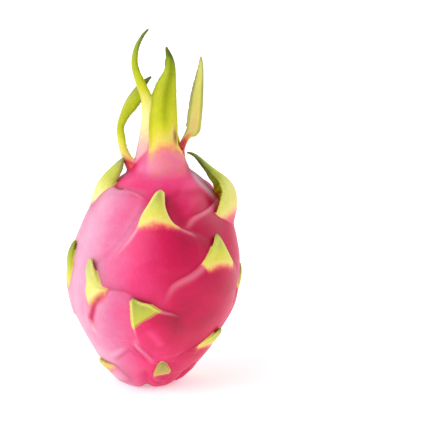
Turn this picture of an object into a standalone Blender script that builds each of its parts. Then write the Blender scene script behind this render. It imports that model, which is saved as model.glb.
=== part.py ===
"""A ripe dragon fruit that stands on its stalk end, as one solid.

The egg-shaped body has a small flat spot below, raised scales that wind up it in a spiral, and a
crown of long bracts round the flower scar. Sizes are in millimetres until a mesh is made. X points
right, Z points up, and the side that shows the most scales faces -Y.
"""

import math
import random
from dataclasses import dataclass, replace

import bmesh
import bpy
import numpy as np
from mathutils import Vector

MM = 0.001

# Body
BODY_HEIGHT = 111.5
BODY_RADIUS = 42.8
SPOT_RADIUS = 12.0
LEAN = 0.06
CENTRE_HEIGHT = 56.0
PROFILE = [
    (SPOT_RADIUS, 0.0),
    (14.8, 1.6),
    (18.6, 5.0),
    (27.0, 16.0),
    (35.4, 30.0),
    (40.2, 40.0),
    (42.4, 50.0),
    (BODY_RADIUS, 58.0),
    (41.9, 66.0),
    (39.3, 74.0),
    (35.9, 82.0),
    (31.9, 90.0),
    (27.8, 97.0),
    (22.6, 102.0),
    (16.5, 106.5),
    (9.0, 110.0),
    (0.0, BODY_HEIGHT),
]
BODY_COLUMNS = 54
BODY_ROWS = 28
PROFILE_STEPS = 16
LUMP_HEIGHT = 0.5
# Waves round the body, their slope up it in radians a millimetre, and their start
LUMP_WAVES = ((3, 1 / 17, 0.0), (2, -1 / 23, 1.0))
FLAT_END = 12.0

# Neck below the crown, with the dish of the flower scar on top
NECK_RADIUS = 10.6
NECK_TOP = 119.0
NECK_SIDES = 28
SCAR_RIM = 0.6
SCAR_RADIUS = 8.0
SCAR_FLOOR_RADIUS = 6.0
SCAR_DEPTH = 4.0
STUB_RADIUS = 2.6
STUB_FLARE = 1.0
STUB_TAPER = 0.8
STUB_ROOT = 3.0
STUB_SIDES = 9
STUB_TOP = 123.0
# Height, radius and how far the ring's middle is moved right and back
NECK_RINGS = (
    (94.0, 20.0, 0.0, 0.0),
    (100.0, 20.6, 0.0, -0.4),
    (104.0, 17.8, 0.1, -1.3),
    (108.0, 13.6, 0.5, -2.2),
    (111.0, 12.7, 1.0, -1.7),
    (114.0, 11.9, 0.7, -1.3),
    (NECK_TOP, NECK_RADIUS, 0.0, 0.0),
)

# Scales
SCALE_COUNT = 19
GOLDEN_ANGLE = 137.5
FIRST_ANGLE = -145.5
TOP_TIP = 122.0
LOW_TIP = 20.0
ANGLE_DRIFT = 4.0
TIP_DRIFT = 2.0
SCALE_ROWS = 9
SCALE_COLUMNS = 6
FIRST_ROW = 0.3
ROW_CROWDING = 1.5
SCALE_THICKNESS = 1.3
SCALE_THINNING = 0.35
ROOT_START = 0.15
ROOT_DEPTH = 4.0
ROOT_ROUNDING = 0.8
EDGE_SINK = 0.5
CUP_END = 0.4
SWELL_PEAK = 0.32
SWELL_ROUND = 0.25
TIP_HALF = 1.3
TIP_ROUND = 1.6
# What the hidden scales measure, the uppermost and the lowest, and how much their widths differ
LENGTHS = (52.0, 20.0)
WIDTHS = (25.0, 12.0)
FREE_LENGTHS = (17.0, 9.0)
TIP_LIFTS = (4.4, 1.6)
MIDDLE_LIFTS = (1.8, 0.8)
SWELLS = (3.4, 1.6)
WIDTH_RANGE = (0.85, 1.1)
FADE_PART = 0.7
SHOULDER_SCALES = {2, 4}
MARGIN_SHAPE = ((0, 0), (0.08, 0.11), (0.17, 0.25), (0.28, 0.45), (0.4, 0.7), (0.54, 0.92), (0.68, 1.0),
                (1.0, 1.02))

# Long leaves of the crown and the shoulder
LEAF_ROWS = 11
LEAF_COLUMNS = 4
LEAF_STEPS = 12
LEAF_TIP_THINNING = 0.35
LEAF_EDGE_THINNING = 0.3
TIP_WIDTH = 0.5
FULL_CUP_WIDTH = 3.0

SKIN_COLOUR = (0.80, 0.06, 0.18, 1.0)
SKIN_ROUGHNESS = 0.42
SHARP_ANGLE = 40.0


@dataclass
class Scale:
    """A raised scale on the body: its tip, its two margins and how far it stands off."""

    angle: float
    tip: float
    length: float
    free: float
    left: tuple
    right: tuple
    tip_lift: float = 2.6
    middle_lift: float = 1.2
    swell: float = 3.0
    fade: float = 30.0
    cup: float = 0.3


@dataclass
class Leaf:
    """A long bract: the line of its keel, its half widths and the way that its outer face looks."""

    line: tuple
    half_widths: tuple
    outward: tuple
    cup: float = 0.26
    thickness: float = 1.5


# Margins are pairs of distance down from the tip and distance across from the tip's line
FRONT_SCALES = {
    0: Scale(
        angle=-160, tip=118.5, length=42, free=1,
        left=((0, 6), (3, 10), (10, 15), (20, 18)),
        right=((0, 6), (2, 12), (4, 19), (7.5, 28)),
        tip_lift=0.3, middle_lift=0.2, swell=2.2, fade=9,
    ),
    1: Scale(
        angle=-2, tip=107.5, length=44, free=1,
        left=((0, 8), (1.8, 13), (4.5, 23), (7.2, 32), (12, 40)),
        right=((0, 8), (3, 14), (6, 20), (12, 28)),
        tip_lift=0.3, middle_lift=0.2, swell=2.6, fade=14,
    ),
    3: Scale(
        angle=-86.5, tip=113.9, length=54, free=15,
        left=((0, 1.5), (6.5, 5.1), (12.2, 8.5), (17.7, 10.6), (22.8, 13.9), (27.9, 18.1), (33, 22.7),
              (40, 27)),
        right=((0, 1.5), (1.7, 1.9), (7.4, 2.4), (11.4, 3.7), (15.7, 6.4), (18.5, 9.9), (20.5, 13.6),
               (23, 18.5), (27, 23), (34, 26)),
        tip_lift=3.6, middle_lift=1.4, swell=3.2, fade=38,
    ),
    5: Scale(
        angle=-165.5, tip=84.5, length=36, free=14,
        left=((0, 1.2), (6, 4), (14, 7), (26, 10)),
        right=((0, 1.2), (5, 3.6), (10, 4.8), (15, 4.6), (20, 4.2), (26, 5)),
        tip_lift=2.4, middle_lift=1.4, swell=1.6,
    ),
    6: Scale(
        angle=-42, tip=90, length=60, free=15,
        left=((0, 1), (4, 3), (9, 7), (14, 13), (17.4, 18.8), (18.6, 21.9), (20.4, 25.2), (22.2, 27.1),
              (25.6, 28.8), (29.8, 30.1), (37, 31)),
        right=((0, 1), (5, 4), (11, 8), (20, 15), (34, 20)),
        tip_lift=3.6, middle_lift=1.4, swell=3.2, fade=48,
    ),
    8: Scale(
        angle=-135.4, tip=79.5, length=39, free=13,
        left=((0, 1.4), (5.3, 1.7), (11.4, 1.2), (17.2, 1.2), (24, 1.8), (32, 4)),
        right=((0, 1.2), (2.1, 2.2), (5.7, 4.1), (10.1, 6.7), (13.1, 8.6), (13.5, 11), (13.7, 15.5),
               (14, 20.9), (16.4, 26.4), (24, 28.4)),
        tip_lift=2.6, middle_lift=1.0, swell=2.8, fade=26,
    ),
    11: Scale(
        angle=-101.2, tip=63.2, length=39, free=10,
        left=((0, 0.9), (7, 0.6), (15, 0), (22.7, -0.8), (28, -1.4), (34, -3)),
        right=((0, 1.3), (2.1, 4.5), (2.9, 7.7), (4.4, 9.9), (5.9, 11.9), (7.1, 15.5), (8.2, 19),
               (10.2, 22), (17, 23.5)),
        tip_lift=2.8, middle_lift=1.0, swell=3.0,
    ),
    15: Scale(
        angle=-76, tip=24, length=15, free=8,
        left=((0, 0.8), (4, 1.4), (7.4, 1.8), (13, 3)),
        right=((0, 1), (5, 4), (9, 6.2), (14, 7.6)),
        tip_lift=1.4, middle_lift=0.8, swell=1.2,
    ),
    18: Scale(
        angle=-153, tip=22.6, length=17, free=6,
        left=((0, 1), (4, 3.4), (8, 5), (14, 7)),
        right=((0, 1.2), (0.6, 5), (1.2, 9), (3.4, 12), (9, 13), (14, 13)),
        tip_lift=1.4, middle_lift=0.8, swell=1.4,
    ),
}
SKIPPED_SCALES = {13, 16}

LEAVES = {
    "front": Leaf(
        line=((11.4, -9.6, 104), (10.6, -10.9, 114), (9.1, -11.3, 122), (8.8, -11, 132), (8.9, -10, 142),
              (10.1, -8.8, 150), (12, -7.4, 158), (11.8, -6.6, 164), (10.3, -6, 170)),
        half_widths=(9.6, 8.4, 7.2, 7.3, 6.8, 5.6, 3.2, 2.2, TIP_WIDTH),
        outward=(0.05, -1, 0),
    ),
    "left": Leaf(
        line=((-1, -4.6, 104), (-2.4, -5.8, 114), (-1.2, -6.4, 124), (-0.2, -6.6, 134), (-0.6, -6.6, 144),
              (-3.2, -6.6, 152), (-5.6, -6.2, 161), (-4.6, -5.6, 169), (-1.6, -5, 175), (1.4, -4.6, 178.5)),
        half_widths=(7.2, 6.4, 5.4, 4.4, 3.8, 3.1, 2.2, 1.6, 1, TIP_WIDTH),
        outward=(-0.68, -0.73, 0),
    ),
    "far_left": Leaf(
        line=((-4, -1, 103), (-8, -2, 110), (-11.5, -2.6, 118), (-12.9, -3, 126), (-13, -3, 130.5),
              (-11.4, -2.8, 135.7), (-8.7, -2.4, 141), (-5.4, -2, 146), (-2.7, -1.6, 150), (0, -1.2, 153),
              (2.6, -1, 155)),
        half_widths=(5, 3.6, 2.6, 2.4, 2.2, 2.8, 3.9, 4, 2.9, 1.5, TIP_WIDTH),
        outward=(-0.6, -0.8, 0.1),
    ),
    "right": Leaf(
        line=((14, 1, 108), (16.4, 1.2, 115), (17.8, 1.4, 120.5), (20.4, 1.6, 125.4), (23, 2, 128.2),
              (23.9, 2.4, 131.6), (24.6, 2.6, 138), (25.6, 3, 147.3), (26.9, 3.2, 158.6), (27.1, 3.2, 164.4)),
        half_widths=(3.4, 2.3, 1.8, 2, 3.9, 3.9, 3.8, 3.2, 1.6, TIP_WIDTH),
        outward=(0.2, 0.97, 0),
    ),
    "back": Leaf(
        line=((7, 8.8, 104), (7.6, 10.6, 114), (8.6, 10.8, 124), (10, 9.6, 135), (11, 7.6, 146)),
        half_widths=(7.4, 7.2, 5.6, 3.4, TIP_WIDTH),
        outward=(0.1, 1, 0),
    ),
    "back_left": Leaf(
        line=((0.6, 7, 102), (-1.2, 8, 112), (-0.4, 8.6, 121), (2.2, 7.6, 131), (5.2, 6, 139)),
        half_widths=(6.4, 6, 4.4, 2.6, TIP_WIDTH),
        outward=(-0.6, 0.8, 0),
    ),
    "back_right": Leaf(
        line=((13.6, 5.6, 102), (15.6, 6.4, 111), (15.6, 7.6, 119), (13.8, 7.6, 128), (12.4, 6.6, 136)),
        half_widths=(6, 5.4, 4, 2.4, TIP_WIDTH),
        outward=(0.75, 0.66, 0),
    ),
    "shoulder_left": Leaf(
        line=((-21, -4, 82), (-26, -4.4, 89), (-26.2, -4.4, 93.5), (-25.2, -4.2, 97.5), (-23.6, -4, 101.5),
              (-20.4, -3.6, 105.9), (-16.4, -3.2, 110), (-13.2, -3, 113), (-10.8, -3, 114.8)),
        half_widths=(12, 11, 9.6, 8.4, 7.4, 6.2, 4.6, 2.8, TIP_WIDTH),
        outward=(-0.93, -0.36, 0.1),
        cup=0.36,
        thickness=1.8,
    ),
    "shoulder_right": Leaf(
        line=((37.5, -1, 72), (40.8, -1.4, 79), (43, -1.8, 86), (44.2, -2, 93), (42.9, -2, 99.7),
              (39.3, -1.6, 104.3), (34.9, -1.4, 107.6), (30.6, -1.4, 111), (26.7, -1.6, 114.4),
              (23.6, -2, 116.6), (20.3, -2.4, 117.6)),
        half_widths=(11, 13, 13.4, 12.2, 9.2, 6.6, 4.2, 2.8, 2.1, 1.4, TIP_WIDTH),
        outward=(0.96, 0.28, 0.1),
        cup=0.5,
        thickness=1.8,
    ),
}


def turned_leaf(leaf, degrees, size=1.0, drop=0.0):
    """The same leaf moved round the fruit's axis and down, and made shorter above its root."""
    turn = math.radians(degrees)
    line = []
    for x, y, z in leaf.line:
        x -= LEAN * z
        z = leaf.line[0][2] - drop + (z - leaf.line[0][2]) * size
        right = x * math.cos(turn) - y * math.sin(turn)
        back = x * math.sin(turn) + y * math.cos(turn)
        line.append((right + LEAN * z, back, z))
    x, y, z = leaf.outward
    outward = (x * math.cos(turn) - y * math.sin(turn), x * math.sin(turn) + y * math.cos(turn), z)
    return Leaf(tuple(line), leaf.half_widths, outward, leaf.cup, leaf.thickness)


LEAVES["shoulder_back_left"] = turned_leaf(LEAVES["shoulder_left"], -68, 0.9)
LEAVES["shoulder_back_right"] = turned_leaf(LEAVES["shoulder_left"], -132, 0.86, 0.5)


def clear_scene():
    for obj in list(bpy.data.objects):
        bpy.data.objects.remove(obj)


def smooth_curve(points, steps):
    """A Catmull-Rom curve through the points, with the given number of steps between two of them."""
    fixed = np.array(points, float)
    ends = np.vstack([2 * fixed[0] - fixed[1], fixed, 2 * fixed[-1] - fixed[-2]])
    curve = []
    for before, start, end, after in zip(ends, ends[1:], ends[2:], ends[3:]):
        for t in np.arange(steps) / steps:
            cubic = (3 * start - before - 3 * end + after) * t**3
            square = (2 * before - 5 * start + 4 * end - after) * t**2
            curve.append(start + 0.5 * (cubic + square + (end - before) * t))
    curve.append(fixed[-1])
    return np.array(curve)


def smoothstep(value):
    t = min(max(value, 0.0), 1.0)
    return t * t * (3 - 2 * t)


class Body:
    """The body's surface, read by the angle round the axis and the distance up from the spot."""

    def __init__(self, scales):
        curve = smooth_curve(PROFILE, PROFILE_STEPS)
        self.radius = curve[:, 0]
        self.height = curve[:, 1]
        steps = np.hypot(np.diff(self.radius), np.diff(self.height))
        self.arc = np.concatenate([[0.0], np.cumsum(steps)])
        self.length = self.arc[-1]
        self.scales = scales

    def radius_at(self, arc):
        return float(np.interp(arc, self.arc, self.radius))

    def place(self, angle, arc, height=0.0):
        """The point this high above the plain body, away from the body's centre."""
        radius = self.radius_at(arc)
        rise = float(np.interp(arc, self.arc, self.height)) - CENTRE_HEIGHT
        stretch = 1 + height / math.hypot(radius, rise)
        z = CENTRE_HEIGHT + rise * stretch
        x = radius * stretch * math.cos(angle) + LEAN * z
        return (x, radius * stretch * math.sin(angle), z)

    def lumps(self, angle, arc):
        """Low lumps of the skin: none at the flat spot or under the neck."""
        waves = sum(math.sin(count * angle + slope * arc + start) for count, slope, start in LUMP_WAVES)
        fade = smoothstep(arc / FLAT_END) * smoothstep((self.length - arc) / FLAT_END)
        return LUMP_HEIGHT * waves * fade


def margins(shape, down):
    """The middle between a scale's margins and the half width, at a distance down from the tip."""
    scale, left_table, right_table = shape
    left = float(np.interp(down, *left_table))
    right = float(np.interp(down, *right_table))
    tip_part = math.sqrt(min(down / TIP_ROUND, 1.0))
    root = max(2 * down / scale.length - 1, 0.0)
    return (right - left) / 2, (right + left) / 2 * tip_part * math.sqrt(1 - ROOT_ROUNDING * root**2)


def scale_height(scale, down, place):
    """The outer face's height above the body, at a place from -1 to 1 between the margins."""
    free = max(1 - down / scale.free, 0.0)
    lift = scale.tip_lift * free * (2 * free - 1) + scale.middle_lift * 4 * free * (1 - free)
    lift -= scale.cup * place**2 * smoothstep(free / CUP_END)
    along = down / scale.length
    rise = along / SWELL_PEAK * math.exp(1 - along / SWELL_PEAK) * (1 - along**4)
    flatten = smoothstep(down / scale.fade)
    swell = scale.swell * rise * (1 - (SWELL_ROUND + (1 - SWELL_ROUND) * flatten) * place**2)
    return lift + swell - EDGE_SINK * max(smoothstep(2 * along - 0.6), flatten * place**2)


def steady_curve(points, spacing=0.25):
    """A smooth table through points that never turns back between them."""
    x, y = np.array(points, float).T
    step = np.diff(x)
    slope = np.diff(y) / step
    inner = np.where(slope[1:] * slope[:-1] > 0, 2 / (1 / np.where(slope[1:] == 0, 1, slope[1:])
                     + 1 / np.where(slope[:-1] == 0, 1, slope[:-1])), 0.0)
    ends = np.concatenate([slope[:1], inner, slope[-1:]])
    dense = np.arange(x[0], x[-1] + spacing, spacing)
    dense[-1] = x[-1]
    i = np.clip(np.searchsorted(x, dense, side="right") - 1, 0, len(step) - 1)
    t = (dense - x[i]) / step[i]
    rest = 1 - t
    value = (y[i] * rest**2 * (1 + 2 * t) + y[i + 1] * t**2 * (3 - 2 * t)
             + step[i] * t * rest * (ends[i] * rest - ends[i + 1] * t))
    return dense, value


def between(ends, part):
    """The value at this part of the way between two ends."""
    return ends[0] + (ends[1] - ends[0]) * part


def spiral_scales():
    """Every scale from the shoulder down, with those of the front where they really are."""
    draw = random.Random(7)
    scales = []
    for number in range(SCALE_COUNT):
        if number in SKIPPED_SCALES:
            continue
        down = number / (SCALE_COUNT - 1)
        angle = FIRST_ANGLE + GOLDEN_ANGLE * number + draw.uniform(-ANGLE_DRIFT, ANGLE_DRIFT)
        tip = between((TOP_TIP, LOW_TIP), down) + draw.uniform(-TIP_DRIFT, TIP_DRIFT)
        if number in FRONT_SCALES:
            scales.append(FRONT_SCALES[number])
            continue
        if number in SHOULDER_SCALES:
            scales.append(replace(FRONT_SCALES[0], angle=angle))
            continue
        length = between(LENGTHS, down)
        sides = []
        for _ in range(2):
            width = between(WIDTHS, down) * draw.uniform(*WIDTH_RANGE)
            sides.append(tuple((length * row, TIP_HALF + width * part) for row, part in MARGIN_SHAPE))
        scales.append(
            Scale(
                angle=angle,
                tip=tip,
                length=length,
                free=between(FREE_LENGTHS, down),
                left=sides[0],
                right=sides[1],
                tip_lift=between(TIP_LIFTS, down),
                middle_lift=between(MIDDLE_LIFTS, down),
                swell=between(SWELLS, down),
                fade=FADE_PART * length,
            )
        )
    return scales


def ring_solid(name, rings, start_cap=None, end_cap=None):
    """A closed solid from rings of points, each cap a fan round a point or one flat face."""
    mesh = bmesh.new()
    made = [[mesh.verts.new(Vector(point) * MM) for point in ring] for ring in rings]
    for low, high in zip(made, made[1:]):
        for i in range(len(low)):
            j = (i + 1) % len(low)
            mesh.faces.new((low[i], low[j], high[j], high[i]))
    for ring, cap in ((made[0], start_cap), (made[-1], end_cap)):
        if cap is None:
            mesh.faces.new(ring)
            continue
        centre = mesh.verts.new(Vector(cap) * MM)
        for i, vertex in enumerate(ring):
            mesh.faces.new((vertex, ring[(i + 1) % len(ring)], centre))
    return finish_solid(name, mesh)


def blade_solid(name, outer, inner):
    """A closed thin blade from two grids of points, split into triangles alike on both faces."""
    rows, columns = len(outer), len(outer[0])
    loops = []
    for row in range(rows):
        loops.append(list(outer[row]) + list(reversed(inner[row])))
    mesh = bmesh.new()
    made = [[mesh.verts.new(Vector(point) * MM) for point in loop] for loop in loops]
    around = 2 * columns
    for low, high in zip(made, made[1:]):
        for i in range(around):
            j = (i + 1) % around
            if i < columns:
                faces = ((low[i], low[j], high[j]), (low[i], high[j], high[i]))
            else:
                faces = ((low[i], low[j], high[i]), (low[j], high[j], high[i]))
            for face in faces:
                mesh.faces.new(face)
    for loop in (made[0], made[-1]):
        for i in range(columns - 1):
            low, high = around - 1 - i, around - 2 - i
            mesh.faces.new((loop[i], loop[i + 1], loop[high], loop[low]))
    return finish_solid(name, mesh)


def finish_solid(name, mesh):
    bmesh.ops.recalc_face_normals(mesh, faces=mesh.faces)
    data = bpy.data.meshes.new(name)
    mesh.to_mesh(data)
    mesh.free()
    obj = bpy.data.objects.new(name, data)
    bpy.context.scene.collection.objects.link(obj)
    return obj


def make_body(body):
    """The plain egg-shaped body, closed by the flat spot below and a point on top."""
    rings = []
    for row in range(BODY_ROWS):
        arc = body.length * row / BODY_ROWS
        ring = []
        for column in range(BODY_COLUMNS):
            angle = 2 * math.pi * (column + 0.5 * (row % 2)) / BODY_COLUMNS
            ring.append(body.place(angle, arc, body.lumps(angle, arc)))
        rings.append(ring)
    return ring_solid("dragon_fruit", rings, (0, 0, 0), body.place(0, body.length))


def make_neck():
    """The short neck that the crown grows from, with a shallow dish for the flower scar."""
    rings = [circle(radius, z, NECK_SIDES, right, back) for z, radius, right, back in NECK_RINGS]
    rings.append(circle(SCAR_RADIUS, NECK_TOP - SCAR_RIM, NECK_SIDES))
    rings.append(circle(SCAR_FLOOR_RADIUS, NECK_TOP - SCAR_DEPTH, NECK_SIDES))
    return ring_solid("neck", rings)


def make_stub():
    """The dried foot of the flower in the middle of the scar."""
    rings = [
        circle(STUB_RADIUS + STUB_FLARE, NECK_TOP - SCAR_DEPTH - STUB_ROOT, STUB_SIDES),
        circle(STUB_RADIUS, NECK_TOP, STUB_SIDES),
        circle(STUB_RADIUS - STUB_TAPER, STUB_TOP, STUB_SIDES),
    ]
    return ring_solid("stub", rings)


def circle(radius, z, sides, right=0.0, back=0.0):
    """A level ring round the leaning axis, or round a point to the right and back of it."""
    turns = [2 * math.pi * i / sides for i in range(sides)]
    return [(radius * math.cos(t) + right + LEAN * z, radius * math.sin(t) + back, z) for t in turns]


def make_scale(scale, body, number):
    """A scale from its free tip down to where its swelling has faded, with its inside sunk in."""
    shape = (scale, steady_curve(scale.left), steady_curve(scale.right))
    outer, inner = [], []
    for row in range(SCALE_ROWS + 1):
        down = scale.length * (row / SCALE_ROWS) ** ROW_CROWDING
        arc = scale.tip - down
        middle, half = margins(shape, down + FIRST_ROW)
        sunk = smoothstep(down / scale.free - ROOT_START)
        outer_row, inner_row = [], []
        for column in range(SCALE_COLUMNS + 1):
            place = 2 * column / SCALE_COLUMNS - 1
            angle = math.radians(scale.angle) + (middle + half * place) / body.radius_at(arc)
            lumps = body.lumps(angle, arc)
            height = lumps + scale_height(scale, down, place)
            thin = height - SCALE_THICKNESS * (1 - SCALE_THINNING * place**2)
            deep = lumps - ROOT_DEPTH
            outer_row.append(body.place(angle, arc, height))
            inner_row.append(body.place(angle, arc, thin + (deep - thin) * sunk))
        outer.append(outer_row)
        inner.append(inner_row)
    return blade_solid(f"scale_{number}", outer, inner)


def make_leaf(name, leaf):
    """A long tapered leaf, bent across like a gutter so that its outer face is round."""
    line = resample(smooth_curve(leaf.line, LEAF_STEPS), LEAF_ROWS)
    widths = resample(smooth_curve([(width,) for width in leaf.half_widths], LEAF_STEPS), LEAF_ROWS)[:, 0]
    outer, inner = [], []
    for row in range(LEAF_ROWS):
        along = Vector(line[min(row + 1, LEAF_ROWS - 1)]) - Vector(line[max(row - 1, 0)])
        side = along.cross(Vector(leaf.outward)).normalized()
        out = side.cross(along).normalized()
        thickness = leaf.thickness * (1 - LEAF_TIP_THINNING * row / (LEAF_ROWS - 1))
        cup = leaf.cup * min(widths[row] / FULL_CUP_WIDTH, 1.0)
        outer_row, inner_row = [], []
        for column in range(LEAF_COLUMNS + 1):
            place = 2 * column / LEAF_COLUMNS - 1
            middle = Vector(line[row]) + side * (widths[row] * place)
            middle -= out * (2 * cup * widths[row] * place**2)
            facing = (out + side * (4 * cup * place)).normalized()
            thin = thickness * (1 - LEAF_EDGE_THINNING * place**2)
            outer_row.append(middle + facing * thin / 2)
            inner_row.append(middle - facing * thin / 2)
        outer.append(outer_row)
        inner.append(inner_row)
    return blade_solid(name, outer, inner)


def resample(curve, count):
    """Points at even parts of a sampled curve."""
    places = np.linspace(0, len(curve) - 1, count)
    known = np.arange(len(curve))
    return np.stack([np.interp(places, known, curve[:, i]) for i in range(curve.shape[1])], axis=1)


def join(target, others):
    """One Boolean union of the target with all the others, which are then removed."""
    group = bpy.data.collections.new("repeats")
    bpy.context.scene.collection.children.link(group)
    for obj in others:
        bpy.context.scene.collection.objects.unlink(obj)
        group.objects.link(obj)
    union = target.modifiers.new("union", "BOOLEAN")
    union.operation = "UNION"
    union.operand_type = "COLLECTION"
    union.collection = group
    union.solver = "EXACT"
    graph = bpy.context.evaluated_depsgraph_get()
    joined = bpy.data.meshes.new_from_object(target.evaluated_get(graph), depsgraph=graph)
    target.modifiers.remove(union)
    target.data = joined
    for obj in others:
        bpy.data.objects.remove(obj)
    bpy.data.collections.remove(group)


def skin_material():
    material = bpy.data.materials.new("dragon_fruit_skin")
    material.use_nodes = True
    shader = material.node_tree.nodes["Principled BSDF"]
    shader.inputs["Base Color"].default_value = SKIN_COLOUR
    shader.inputs["Roughness"].default_value = SKIN_ROUGHNESS
    shader.inputs["Metallic"].default_value = 0.0
    return material


def make_fruit():
    body = Body(spiral_scales())
    fruit = make_body(body)
    grown = [make_neck(), make_stub()]
    grown += [make_scale(scale, body, number) for number, scale in enumerate(body.scales)]
    grown += [make_leaf(name, leaf) for name, leaf in LEAVES.items()]
    join(fruit, grown)
    fruit.data.materials.clear()
    fruit.data.materials.append(skin_material())
    fruit.data.shade_smooth()
    fruit.data.set_sharp_from_angle(angle=math.radians(SHARP_ANGLE))


clear_scene()
make_fruit()
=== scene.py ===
import math
import random
from dataclasses import dataclass, replace

import bpy
import numpy as np
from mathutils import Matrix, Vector


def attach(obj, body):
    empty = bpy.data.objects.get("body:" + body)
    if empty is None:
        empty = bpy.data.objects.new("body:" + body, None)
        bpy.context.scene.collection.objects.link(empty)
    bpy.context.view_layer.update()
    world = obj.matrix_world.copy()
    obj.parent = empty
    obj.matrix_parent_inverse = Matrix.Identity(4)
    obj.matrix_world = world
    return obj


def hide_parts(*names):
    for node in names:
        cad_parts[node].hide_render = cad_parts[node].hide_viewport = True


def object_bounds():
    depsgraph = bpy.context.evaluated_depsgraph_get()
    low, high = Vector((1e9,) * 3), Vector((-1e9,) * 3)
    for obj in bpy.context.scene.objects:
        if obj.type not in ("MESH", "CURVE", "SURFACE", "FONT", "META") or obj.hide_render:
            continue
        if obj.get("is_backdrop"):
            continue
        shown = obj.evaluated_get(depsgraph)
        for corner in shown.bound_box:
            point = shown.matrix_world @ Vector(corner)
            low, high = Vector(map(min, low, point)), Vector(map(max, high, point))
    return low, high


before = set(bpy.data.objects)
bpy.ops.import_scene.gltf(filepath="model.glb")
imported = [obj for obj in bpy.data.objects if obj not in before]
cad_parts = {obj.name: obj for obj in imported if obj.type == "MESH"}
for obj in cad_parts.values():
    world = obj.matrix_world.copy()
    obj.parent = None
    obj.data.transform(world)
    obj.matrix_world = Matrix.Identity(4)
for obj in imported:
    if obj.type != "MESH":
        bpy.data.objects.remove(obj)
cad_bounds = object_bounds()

MM = 0.001

# A pair for smoothstep is where the change starts and how wide it is; a pair for bump is its middle and
# its width; a pair for between is its two ends

# The body's plain shape, as in the part, in millimetres
SPOT_RADIUS = 12
LEAN = 0.06
CENTRE_HEIGHT = 56
PROFILE = (
    (SPOT_RADIUS, 0), (14.8, 1.6), (18.6, 5), (27, 16), (35.4, 30), (40.2, 40), (42.4, 50),
    (42.8, 58), (41.9, 66), (39.3, 74), (35.9, 82), (31.9, 90), (27.8, 97), (22.6, 102),
    (16.5, 106.5), (9, 110), (0, 111.5),
)
PROFILE_STEPS = 16
LUMP_HEIGHT = 0.5
# Each wave's count round the body, its slope along it and its start
LUMP_WAVES = ((3, 1 / 17, 0), (2, -1 / 23, 1))
FLAT_END = 12
FLAT_ROUNDING = 0.8
STALK_EDGE = (4.5, 2)

# Neck and flower scar
NECK_RADIUS = 10.6
NECK_TOP = 119
NECK_STEPS = 8
NECK_ROUNDING = 1
NECK_BLEND = 4
SCAR_DEPTH = 4
SCAR_WALL = (5, 3.4)
STUB_RADIUS = 2.6
STUB_TOP = 123
STUB_BOTTOM = 111
STUB_ROUNDING = 1.2
# Height, radius and how far the ring's middle is moved right and back
NECK_RINGS = (
    (94, 20, 0, 0), (100, 20.6, 0, -0.4), (104, 17.8, 0.1, -1.3), (108, 13.6, 0.5, -2.2),
    (111, 12.7, 1, -1.7), (114, 11.9, 0.7, -1.3), (NECK_TOP, NECK_RADIUS, 0, 0),
)

# Scales
SCALE_COUNT = 19
GOLDEN_ANGLE = 137.5
FIRST_ANGLE = -145.5
# How far up the body the first and the last tip are
TIPS = (122, 20)
ANGLE_DRIFT = 4
TIP_DRIFT = 2
DRAW_SEED = 7
SCALE_THICKNESS = 1.3
SCALE_THINNING = 0.35
SCALE_ROUNDING = 0.6
# How softly a scale runs into what is under it, at its tip and at its root
SCALE_BLENDS = (0.6, 3.6)
ROOT_START = 0.15
ROOT_DEPTH = 4
ROOT_ROUNDING = 0.8
EDGE_SINK = 0.5
CUP_END = 0.4
SWELL_PEAK = 0.32
SWELL_ROUND = 0.25
TIP_HALF = 1.3
TIP_ROUND = 1.6
OUTLINE_STEPS = 90
OUTLINE_CROWDING = 1.3
# The raised line along the margins: its height, its place inside them, its width and its soft end
RIM_HEIGHT = 0.3
RIM_PLACE = -0.5
RIM_WIDTH = 0.7
RIM_END = 8
# Values of the scales that follow from the spiral's rule, at the shoulder and at the stalk end
HIDDEN_SCALES = {
    "length": (52, 20), "free": (17, 9), "tip_lift": (4.4, 1.6), "middle_lift": (1.8, 0.8),
    "swell": (3.4, 1.6), "green": (9, 5), "yellow": (17, 8), "tongue": (5, 3),
}
HIDDEN_WIDTHS = (25, 12)
HIDDEN_LINES = (28, 14)
HIDDEN_LINE_WIDTH = 0.7
WIDTH_RANGE = (0.85, 1.1)
FADE_PART = 0.7
MARGIN_SHAPE = ((0, 0), (0.08, 0.11), (0.17, 0.25), (0.28, 0.45), (0.4, 0.7), (0.54, 0.92), (0.68, 1),
                (1, 1.02))
SHOULDER_SCALES = {2, 4}

# Long leaves
LEAF_STEPS = 12
LEAF_TIP_THINNING = 0.35
LEAF_EDGE_THINNING = 0.3
LEAF_ROUNDING = 0.7
TIP_WIDTH = 0.5
FULL_CUP_WIDTH = 3
LEAST_LEAN = 0.6
# How softly a leaf runs into what is under it, at its root and further up
LEAF_BLENDS = (4.1, 0.7)

# How pink the skin is round the fruit, from deep crimson at 0 to lilac pink at 1, by the angle
# Its own tone and lilac bloom, with painted light on the left where the key light falls and painted shade
# on the right
TONE_AND_LIGHT = ((0, 0.34), (50, 0.5), (110, 0.55), (160, 0.7), (190, 0.9), (210, 0.97), (228, 0.9), (242, 0.74),
         (256, 0.6), (270, 0.4), (290, 0.26), (310, 0.2), (335, 0.24))
# The neck's tone the same way, with painted light on its front left and painted shade on the right
NECK_TONE_AND_LIGHT = ((0, 0.3), (50, 0.5), (160, 0.4), (200, 0.42), (228, 0.66), (248, 0.7), (282, 0.62),
              (310, 0.5), (335, 0.3))
# The skin is paler towards the stalk end, and of one tone where the body meets the neck
LOW_TONE = 0.09
LOW_TONE_END = 50
PLAIN_TONE = 0.49
BODY_PLAIN = (114, 5)
NECK_PLAIN = (103, 9)
# Where the neck's top turns dry, by height and from inside out
SCAR_START = (113.5, 1.5)
SCAR_EDGE = (7.5, 1.5)
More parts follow.
